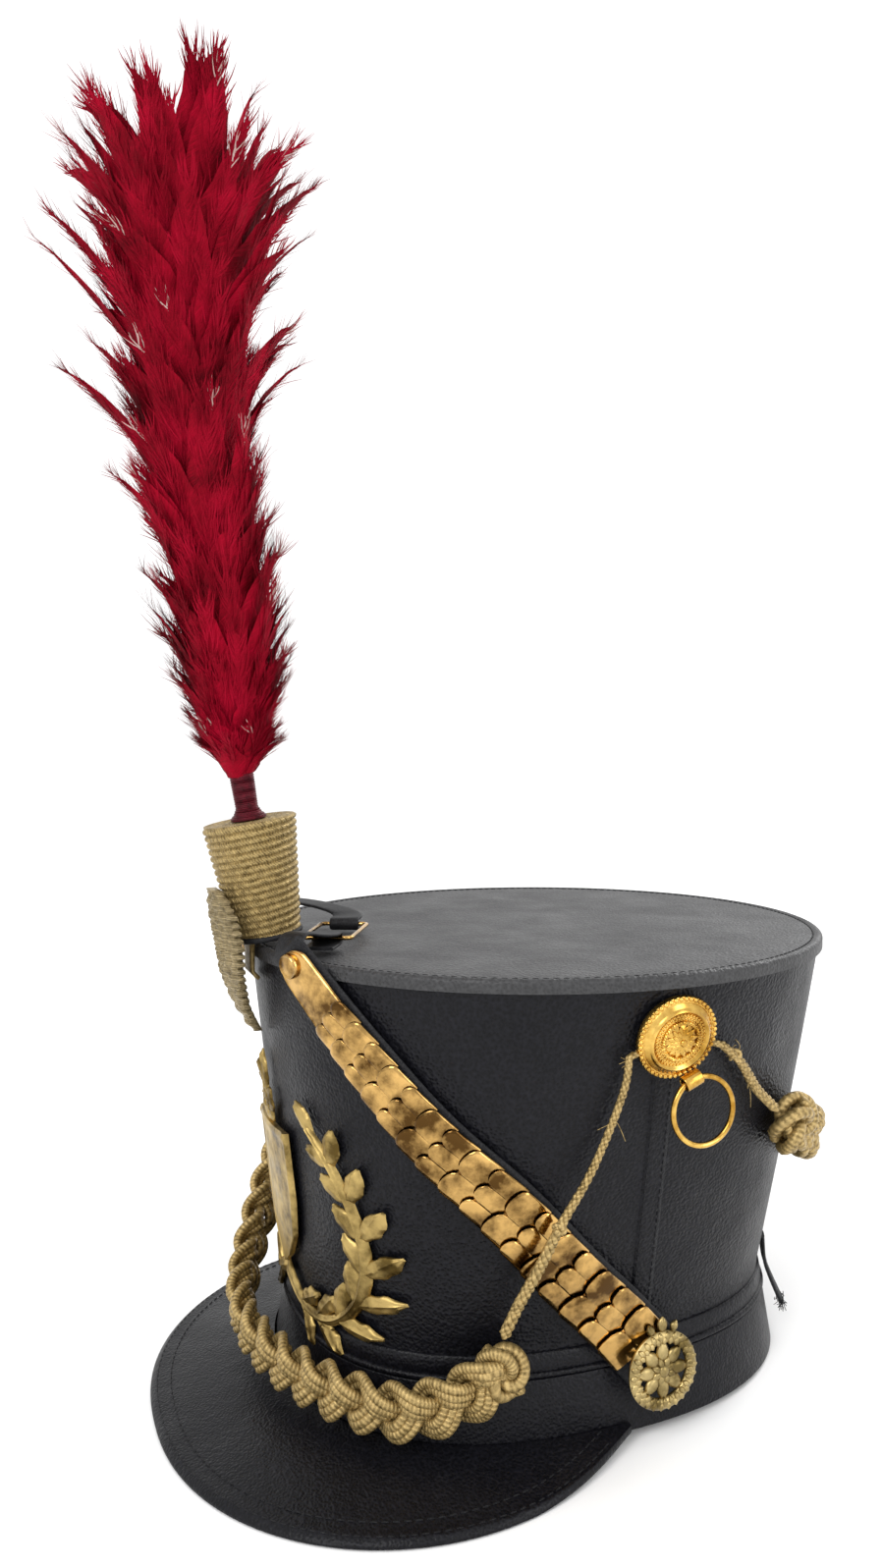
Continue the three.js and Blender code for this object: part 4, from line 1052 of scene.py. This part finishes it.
def add_strap(side):
    sign = 1 if side == "left" else -1
    at = np.linspace(-2, STRAP_LENGTH + 3, 70)
    up = strap_point(at, STRAP_EDGE / 2, 0.0) * (sign, 1, 1)
    facing = sampled(at, STRAP_AT, STRAP_NORMAL) * (sign, 1, 1)
    if side == "left":
        bridge = [
            (40.2, -113.4, 176.6, 0.3, 15), (37.8, -110.4, 179.2, 0.75, 12), (33.5, -104.8, 178.6, 1, 12),
        ]
    else:
        bridge = [
            (-40.6, -113.4, 176.6, 0.3, 15), (-40.0, -110, 179.6, 0.75, 12), (-36, -98, 181.8, 1, 12),
            (-27, -85, 180.6, 1, 12), (-16, -76.5, 178.2, 1, 12),
        ]
    rows = [(p, f, w + STRAP_EDGE, SCALE_BULGE) for p, f, w in zip(up, facing, scale_width(at))]
    for x, y, z, turn, width in bridge:
        way = facing[-1] * (1 - turn) + UP * turn
        rows.append((np.array([x, y, z]), way, width, SCALE_BULGE * (1 - turn)))
    rows += [(p, f, TONGUE_WIDTH, 0) for p, f in fold_rows(sign, 15 if sign > 0 else 9)]
    points, facings, widths, bulges = [np.array(column, float) for column in zip(*rows)]
    start = len(at) - 2
    fine = spline(points[start:], 5)
    key = np.linspace(0, len(points) - 1 - start, len(fine))
    others = stack(*facings.T, widths, bulges)
    smooth = sampled(key, np.arange(len(points) - start), others[start:])
    others = np.vstack([others[:start], smooth])
    shape = Shape()
    line = np.vstack([points[:start], fine])
    ribbon(shape, line, others[:, :3], others[:, 3], others[:, 4], STRAP_THICKNESS)
    shape.build(
        f"{side}_chin_leather", STRAP_LEATHER, "black_leather", replaces=[f"chin_strap_{side}"], crease=60)


def add_wire_loop():
    corner = 2.2
    rows = []
    for sx, sy, first in ((1, 1, 0), (-1, 1, 90), (-1, -1, 180), (1, -1, 270)):
        for turn in np.radians(np.linspace(first, first + 90, 7)):
            x = sx * (LOOP_HALF_LENGTH - corner) + corner * math.cos(turn)
            y = sy * (LOOP_HALF_WIDTH - corner) + corner * math.sin(turn)
            rows.append(LOOP_CENTRE + LOOP_LONG * x + LOOP_WIDE * y)
    line = resampled(np.vstack([rows, rows[:1]]), 0.8)[:-1]
    Shape().ring(tube(line, 0.85, 12, loop=True)).build(
        "strap_loop", POLISHED, "brass", replaces=["wire_loop"], crease=0)


def add_back_tab():
    angle, z, stand = np.array(BACK_TAB, float).T
    line = spline(on_wall(angle, z, stand), 6)
    facing = (0.48, 0.88, 0.0)
    shape = Shape()
    ribbon(shape, line, facing, np.full(len(line), 8.0), np.full(len(line), 0.4), 1.3)
    across = unit(np.cross(line[-1] - line[-2], facing))
    for u in np.linspace(-3.6, 3.6, 26):
        strays(shape, line[-1] + across * u - UP * 0.2, (0.1, 0.2, -1), 2, 3.2, 0.3, 0.16)
    shape.build("strap_tail", STRAP_LEATHER, "black_leather", replaces=["back_tab"], crease=60)


# ---- Boss, ring and roundel --------------------------------------------------------------------------
BOSS = wall_basis(BOSS_ANGLE, BOSS_HEIGHT, BOSS_STAND)
CLIP_COSINE, CLIP_SINE = math.cos(math.radians(CLIP_TURN)), math.sin(math.radians(CLIP_TURN))
CLIP = placed([CLIP_DISTANCE * CLIP_SINE, -CLIP_DISTANCE * CLIP_COSINE, CLIP_LIFT], BOSS)


def petals(shape, count, inner, outer, width, height, rise, basis, phase=0.0, point=1.0):
    """Adds domed petals in a ring: each one a leaf from an inner to an outer radius."""
    v = np.linspace(0, 1, 9)[:, None]
    u = np.linspace(-1, 1, 7)
    x = u * width / 2 * np.sin(np.pi * np.clip(v, 0.02, 0.985) ** point) ** 0.75
    reach = inner + (outer - inner) * v
    dome = np.sqrt(1 - u ** 2) * np.sin(np.pi * np.clip(v, 0.04, 0.96)) ** 0.6
    lift = height + rise * (dome - 0.22 * np.exp(-((u / 0.16) ** 2)))
    for turn in circle(count) + 2 * np.pi * phase / count:
        cosine, sine = math.cos(turn), math.sin(turn)
        flat = stack(reach * cosine - x * sine, reach * sine + x * cosine, lift)
        foot = flat * (1, 1, 0) + (0, 0, height - 0.3)
        shape.solid(placed(flat, basis), placed(foot, basis))


def dots(shape, count, radius, size, height, basis, squash=0.8, phase=0.0):
    for turn in circle(count) + 2 * np.pi * phase / count:
        spot = (radius * math.cos(turn), radius * math.sin(turn), height)
        shape.rod(placed(ball(spot, size, squash), basis))


def add_boss(side):
    shape = Shape()
    profile = [
        (0.1, 0), (15.0, 0), (15.2, 0.8), (15.0, 1.6), (13.9, 2.1), (13.2, 2.1), (12.9, 2.5), (11.9, 3.1),
        (11.5, 3.5), (11.2, 4.1), (10.7, 4.35), (10.2, 4.1), (9.9, 3.6), (9.6, 3.45), (7.6, 3.6), (7.3, 3.7),
        (6.2, 3.8), (5.6, 4.0), (4.8, 4.6), (3.6, 5.1), (2.2, 5.4), (0.1, 5.5),
    ]
    shape.rod(placed(lathe(profile, 96), BOSS))
    dots(shape, 46, 14.3, 0.95, 1.9, BOSS)
    dots(shape, 44, 9.2, 0.5, 3.6, BOSS)
    dots(shape, 40, 8.1, 0.48, 3.65, BOSS, phase=0.5)
    turn = circle(240)
    for phase in (0, np.pi):
        wave = 24 * turn + phase
        reach = 6.75 + 0.42 * np.cos(wave)
        line = stack(reach * np.cos(turn), reach * np.sin(turn), 4.05 + 0.36 * np.sin(wave))
        shape.ring(placed(tube(np.vstack([line, line[:1]]), 0.42, 6), BOSS))
    petals(shape, 12, 1.2, 5.9, 1.9, 4.55, 0.6, BOSS, phase=0.5, point=1.35)
    petals(shape, 12, 1.0, 4.6, 1.7, 4.95, 0.65, BOSS, point=1.3)
    shape.rod(placed(ball((0, 0, 5.65), 1.35, 0.6, 6, 16), BOSS))
    dots(shape, 7, 0.85, 0.32, 6.2, BOSS)
    along = np.array([0, CLIP_COSINE, CLIP_SINE])
    outward_axis = np.array([1.0, 0, 0])
    square = np.cross(along, outward_axis)
    section = rounded([(1.98, -3.4), (2.7, -3.4), (2.7, 3.4), (1.98, 3.4)], 0.3)
    shape.ring([
        CLIP + (outward_axis * math.cos(t) + square * math.sin(t)) * section[:, :1] + along * section[:, 1:]
        for t in [*circle(28), 0]
    ])
    shape.on(side).build(f"{side}_boss", GILT, "gilt", replaces=[f"side_boss_{side}"], crease=50)


def add_ring(side):
    turn = circle(96)
    line = CLIP + RING_RADIUS * stack(0, np.sin(turn) + CLIP_SINE, np.cos(turn) - CLIP_COSINE)
    shape = Shape().ring(tube(line, RING_WIRE, 14, loop=True))
    shape.on(side).build(
        f"{side}_boss_ring", GILT, "gilt", body=f"{side}_ring", replaces=[f"ring_{side}"], crease=0)


def add_roundel(side):
    basis = wall_basis(ROUNDEL_ANGLE, ROUNDEL_HEIGHT, ROUNDEL_STAND, upright=True)
    shape = Shape()
    rim = [
        (9.8, 0.1), (14.0, 0.1), (14.1, 0.9), (13.4, 1.7), (12.6, 2.0), (11.2, 2.0), (10.2, 1.6), (9.8, 0.9),
    ]
    shape.ring(placed(lathe([*rim, rim[0]], 96), basis))
    petals(shape, 26, 10.8, 14.0, 2.6, 1.55, 0.95, basis)
    petals(shape, 26, 9.6, 12.6, 2.2, 1.75, 0.8, basis, phase=0.5)
    petals(shape, 8, 2.2, 10.6, 5.2, 0.7, 1.25, basis)
    petals(shape, 8, 1.0, 5.2, 2.6, 1.5, 0.8, basis, phase=0.5)
    shape.rod(placed(ball((0, 0, 1.5), 2.3, 0.55, 7, 20), basis))
    hub = [(0.1, 0.1), (3.4, 0.1), (3.4, 0.9), (0.1, 0.9)]
    shape.rod(placed(lathe(hub, 32), basis))
    for x, y, size, lean in ((-3.8, 13.0, 4.4, 118), (0, 13.2, 6.0, 90), (3.8, 13.0, 4.4, 62)):
        cosine, sine = math.cos(math.radians(lean)), math.sin(math.radians(lean))
        own = np.array([[cosine, sine, 0], [-sine, cosine, 0], [0, 0, 1]]) @ basis[1]
        petals(shape, 1, 0, size, size * 0.72, 0.7, 1.2, (placed([x, y, 0], basis), own))
    shape.on(side).build(
        f"{side}_roundel", PALE_BRASS, "brass", replaces=[f"scale_roundel_{side}"], crease=45)


# ---- Plate and cockade -------------------------------------------------------------------------------
def leaf_stroke(shape, rows, stand, side=1):
    """Adds a domed leaf with a rib and slanting veins along a stroke in front of the wall."""
    x, z, width = np.array(rows, float).T
    line = spline(stack(x, z, 0), 14)
    half = np.interp(np.linspace(0, len(width) - 1, len(line)), np.arange(len(width)), width) / 2
    tangent = tangents(line)
    u = np.linspace(-1, 1, 13)
    at = distances(line)[:, None]
    notch = 1 - 0.14 * np.abs(np.sin(at * 0.55)) * (np.abs(u) ** 3)
    reach = u * half[:, None] * notch
    across_x = line[:, :1] - tangent[:, 1:2] * reach
    across_z = line[:, 1:2] + tangent[:, :1] * reach
    dome = 1.25 * np.sqrt(np.clip(1 - u ** 2, 0, 1))
    vein = 0.32 * np.sin(at * 1.1 + 5 * np.abs(u)) * np.abs(u) * (1 - u ** 2)
    rib = 0.45 * np.exp(-((u / 0.14) ** 2))
    ends = np.clip(np.minimum(at, at[-1] - at) / 2.0, 0.2, 1)
    top = on_front(side * across_x, across_z, stand + (dome + vein + rib) * ends)
    low = on_front(side * across_x, across_z, PLATE_BACK)
    shape.solid(top, low)


def laurel_leaves():
    """The leaves along the laurel branch, as strokes."""
    x, z, _ = np.array(BRANCH, float).T
    line = spline(stack(x, z, 0), 30)
    at = distances(line)
    tangent = tangents(line)
    leaves = []
    for pair in range(LEAF_PAIRS + 1):
        share = 0.14 + (0.97 - 0.14) * pair / LEAF_PAIRS
        root, way = [sampled(share * at[-1], at, values)[:2] for values in (line, tangent)]
        length = LEAF_LENGTH[0] + (LEAF_LENGTH[1] - LEAF_LENGTH[0]) * share
        for side in (0,) if pair == LEAF_PAIRS else (-1, 1):
            turn = math.radians(side * LEAF_TURN)
            cosine, sine = math.cos(turn), math.sin(turn)
            own = np.array([way[0] * cosine - way[1] * sine, way[0] * sine + way[1] * cosine])
            leaves.append([[*(root + own * along * length), width] for along, width in LEAF_WIDTHS])
    return leaves


def add_crest_plate():
    shape = Shape()
    for side in (1, -1):
        for k, rows in enumerate(laurel_leaves()):
            leaf_stroke(shape, rows, 2.3 + 0.11 * (k % 3), side)
        leaf_stroke(shape, BRANCH, 2.8, side)
    leaf_stroke(shape, TOP_LEAF, 2.5)
    out = wall_normal(on_front(0, ROSETTE_HEIGHT, 0))
    rosette = on_front(0, ROSETTE_HEIGHT, 2.2), np.array([(1, 0, 0), np.cross(out, (1, 0, 0)), out])
    petals(shape, 8, 0.8, ROSETTE_RADIUS, 6.4, 0.2, 1.3, rosette)
    petals(shape, 8, 0.6, ROSETTE_RADIUS * 0.6, 3.6, 1.1, 0.9, rosette, phase=0.5)
    shape.rod(placed(ball((0, 0, 1.5), 1.9, 0.6, 6, 16), rosette))
    z = np.linspace(SHIELD_HEIGHT[0], SHIELD_HEIGHT[-1], 40)[:, None]
    half = np.interp(z, SHIELD_HEIGHT, SHIELD_HALF_WIDTH)
    right = np.array([0.3, 0.55, 0.8, 0.84, 0.88, 0.93, 0.97, 1])
    u = np.concatenate([-right[::-1], [0], right])
    frame_line = 0.75 * np.exp(-(((np.abs(u) - 0.91) / 0.05) ** 2))
    border = 0.75 * np.exp(-(((z - 99.2) / 1.2) ** 2)) * (np.abs(u) < 0.9)
    belly = 0.9 * (1 - u ** 2)
    drop = 0.9 * (np.abs(u) > 0.99)
    front = on_front(u * half, z, 3.1 + frame_line + border + belly - drop)
    shape.solid(front, on_front(u * half, z, PLATE_BACK))
    shape.build("front_plate", PLATE_BRASS, "brass", replaces=["crest_plate"], crease=55)


def add_cockade():
    z = np.linspace(COCKADE_HEIGHT[0], COCKADE_HEIGHT[-1], 96)[:, None]
    half = np.interp(z, COCKADE_HEIGHT, COCKADE_HALF_WIDTH)
    front = np.interp(z, COCKADE_HEIGHT, COCKADE_FRONT)
    u = np.linspace(-1, 1, 41)
    teeth = 1 + 0.05 * np.sign(np.sin(z * 2.1)) * np.abs(u) ** 8
    x = u * half * teeth
    ring = np.hypot(x, (z - COCKADE_MIDDLE) * 0.9)
    swirl = np.arctan2(x, z - COCKADE_MIDDLE)
    relief = 0.55 * np.sin(ring * 1.35) + 0.35 * np.sin(18 * swirl + ring * 0.5) + 0.9 * (1 - u ** 2)
    edge = np.clip((np.abs(u) - 0.93) / 0.07, 0, 1)
    y = front + 0.011 * x * x
    top = stack(x, y - relief * (1 - edge) + 0.4 * edge, z)
    shape = Shape().solid(top, stack(x, y + 2.9, z))
    shape.build("cockade_rosette", COCKADE_THREAD, "gold_thread", replaces=["cockade"], crease=0)


# ---- Cup, stem and plume -----------------------------------------------------------------------------
def on_cup(points):
    """Points from the cup's leaning frame to the crown's."""
    lean = math.radians(CUP_LEAN)
    x, y, z = np.moveaxis(np.asarray(points, float), -1, 0)
    return stack(
        x, y * math.cos(lean) - z * math.sin(lean), y * math.sin(lean) + z * math.cos(lean),
    ) + CUP_FOOT


def add_cup():
    height = np.linspace(0, CUP_HEIGHT - 0.6, CUP_TURNS * 9)[:, None]
    radius = CUP_FOOT_RADIUS + (CUP_TOP_RADIUS - CUP_FOOT_RADIUS) * height / CUP_HEIGHT
    turn = circle(240)
    wave = (height * CUP_TURNS / CUP_HEIGHT - turn / (2 * np.pi)) % 1
    lump = np.sqrt(np.clip(1 - (2 * wave - 1) ** 2, 0, 1))
    twist = 0.16 * np.sin(40 * turn + 2 * np.pi * wave * 1.2)
    wander = 0.075 * np.sin(3 * turn + height * 0.31) * np.sin(height / 7)
    reach = radius - 1.5 + (1.6 + twist) * lump + wander
    wall = stack(reach * np.cos(turn), reach * np.sin(turn), height)
    top = [
        (r, CUP_HEIGHT - 0.75 * (1 - abs(math.sin(math.pi * (r - CUP_BORE_RADIUS) / 2.9))))
        for r in np.linspace(CUP_TOP_RADIUS - 0.6, CUP_BORE_RADIUS, 44)
    ]
    floor = CUP_HEIGHT - CUP_BORE_DEPTH
    bore = [(CUP_BORE_RADIUS - 0.05, CUP_HEIGHT - 1.5), (CUP_BORE_RADIUS - 0.05, floor), (0.1, floor)]
    shape = Shape().ring(on_cup(np.vstack([lathe([(0.1, 0)], 240), wall, lathe([*top, *bore], 240)])))
    strip = rounded([
        (-118.6, 175), (-120.2, 175), (-120.2, 160), (-117.4, 157), (-116.4, 158.2), (-118.6, 160.6),
    ], 0.3)
    shape.rod([[(x, y, z) for y, z in strip] for x in np.linspace(-6, 6, 5)])
    shape.build("wound_cup", CUP_CORD, "gold_thread", replaces=["plume_cup"], crease=0)
    turn = circle(160)
    line = stack(12.9 * np.cos(turn), 12.9 * np.sin(turn), 0.9)
    binding = Shape().ring(on_cup(tube(line, 1.15, 8, loop=True)))
    binding.build("cup_binding", THREAD, "black_leather", crease=0)


def plume_radius(z):
    return np.interp(z, PLUME_HEIGHT, PLUME_RADIUS)


def add_stem():
    height = np.linspace(CUP_HEIGHT - 13.6, CUP_HEIGHT + 24, 150)
    above = height - CUP_HEIGHT
    flare = np.interp(above, (-14, 0.2, 0.3, 1.4, 2.6, 5, 19, 24), (4.4, 4.4, 7.2, 7.0, 5.6, 4.4, 4.8, 3.0))
    ridges = 0.16 * np.sin(above * 2 * np.pi / 0.95)
    stem = Shape().rod(on_cup(lathe(stack(flare + ridges, height), 48)))
    stem.build("plume_stem", MAROON, "feather", crease=0)


def plume_point(radius, turn, z):
    """A point of the plume: out from its leaning middle line."""
    middle = np.interp(z, PLUME_HEIGHT, PLUME_MIDDLE)
    return stack(radius * np.sin(turn), middle - radius * np.cos(turn), z)


def vane(shape, line, out, width, tip_power=0.75):
    """Adds one feather's vane along a line, cupped towards the plume."""
    across, lift = frames(line, out)
    t = np.linspace(0, 1, len(line))
    half = width / 2 * np.sin(np.pi * np.clip(0.04 + 0.96 * t ** 0.8, 0, 0.999)) ** tip_power
    u = np.array([-1, -0.5, 0, 0.5, 1])
    ragged = 1 + rng.uniform(-0.16, 0.16, (len(line), 5)) * np.abs(u)
    reach = u * half[:, None] * ragged
    cup = -0.28 * np.abs(reach) * np.abs(u)
    points = line[:, None] + across[:, None] * reach[..., None] + lift[:, None] * cup[..., None]
    shape.grid(points)


def barbs(shape, line, out, width, count, reach_in=0.3):
    """Adds loose barbs that fan out from a feather's sides towards its tip."""
    tangent = tangents(line)
    across, lift = frames(line, out)
    last = len(line) - 1
    for _ in range(count):
        t = rng.uniform(reach_in, 1.0)
        spot = t * last
        k = min(int(spot), last - 1)
        share = spot - k
        root = line[k] * (1 - share) + line[k + 1] * share
        side = rng.choice((-1, 1))
        length = width * rng.uniform(0.6, 1.05) * (0.55 + 0.5 * np.sin(np.pi * min(t, 0.97)))
        slant = rng.uniform(0.3, 0.8)
        way = unit(tangent[k] + across[k] * side * slant + lift[k] * rng.normal(0.02, 0.16))
        bend = tangent[k] * rng.uniform(0.0, 0.4) + lift[k] * rng.normal(-0.05, 0.15) - across[k] * side * 0.2
        s = np.array([0.0, 0.4, 0.75, 1.0])[:, None]
        middle = root + way * length * s + bend * length * s ** 2
        thick = np.array([0.30, 0.27, 0.18, 0.04])[:, None] * rng.uniform(0.7, 1.2)
        edge = unit(np.cross(way, lift[k]))
        shape.grid(np.stack([middle - edge * thick, middle + edge * thick], axis=1))


def feather_line(tip, turn, length, reach, swirl, steps=9):
    """A feather's spine, from near the plume's middle up and out to its tip, and which way is out."""
    foot = max(tip - length, PLUME_FOOT)
    t = np.linspace(0, 1, steps)
    z = foot + (tip - foot) * (1 - (1 - t) ** 1.15)
    start = 0.32 * plume_radius(foot)
    radius = start + (reach * plume_radius(min(tip, 512)) - start) * t ** 1.25
    line, outer = [plume_point(radius + more, turn + swirl * t ** 2, z) for more in (0, 10)]
    return line, unit(outer - line)


def add_plume():
    z = np.linspace(PLUME_FOOT, 478, 60)[:, None]
    turn = circle(40)
    radius = 0.42 * plume_radius(z) * np.interp(z, (PLUME_FOOT, 262, 430, 478), (0.5, 1, 1, 0.15))
    lump = 1 + 0.12 * np.sin(5 * turn + z / 5) + 0.08 * np.sin(9 * turn - z / 3)
    core = Shape().rod(plume_point(radius * lump, turn, z))
    core.build("plume_core", CRIMSON, "feather", replaces=["plume"], crease=0)
    vanes, fringe, pale = Shape(), Shape(), Shape()
    for k in range(FEATHERS):
        share = (k + 0.5) / FEATHERS
        tip = np.clip(FIRST_TIP + TIP_RISE * share ** 1.05 + rng.normal(0, 5), LOWEST_TIP, HIGHEST_TIP)
        turn = k * GOLDEN_ANGLE + rng.normal(0, 0.2)
        length = min(rng.uniform(42, 66), 12 + 0.9 * (tip - PLUME_FOOT))
        reach = rng.uniform(0.76, 1.08) if tip < 490 else rng.uniform(0.2, 1.0)
        line, out = feather_line(tip, turn, length, reach, rng.normal(0, 0.2))
        width = rng.uniform(12, 17) if tip > 290 else rng.uniform(9, 13)
        vane(vanes, line, out, width)
        barbs(fringe, line, out, width, BARBS_A_FEATHER)
        # Barbs reaching past the plume's outline also get pale barbs: a painted pale fringe standing in for
        # the white backdrop's light seen through the fine barbs, not the feathers' own colour.
        if reach > 1.03:
            barbs(pale, line, out, width * 0.8, PALE_BARBS, 0.85)
    for row in STRAY_FEATHERS:
        line, out = feather_line(*row)
        vane(vanes, line, out, STRAY_WIDTH)
        barbs(fringe, line, out, STRAY_WIDTH + 1, BARBS_A_STRAY)
    for name, shape, look in (
        ("plume_vanes", vanes, CRIMSON),
        ("plume_barbs", fringe, CRIMSON_TIP),
        ("plume_wisps", pale, PALE_TIP),
    ):
        shape.build(name, look, "feather", crease=0, outward=False)


add_crown()
add_seam_strips()
add_top()
add_bands()
add_peak()
add_back_tab()
for side in ("left", "right"):
    add_strap(side)
    add_scales(side)
    add_end_plate(side)
    add_roundel(side)
    add_boss(side)
    add_ring(side)
add_wire_loop()
add_crest_plate()
add_cockade()
add_cup()
add_stem()
add_plume()
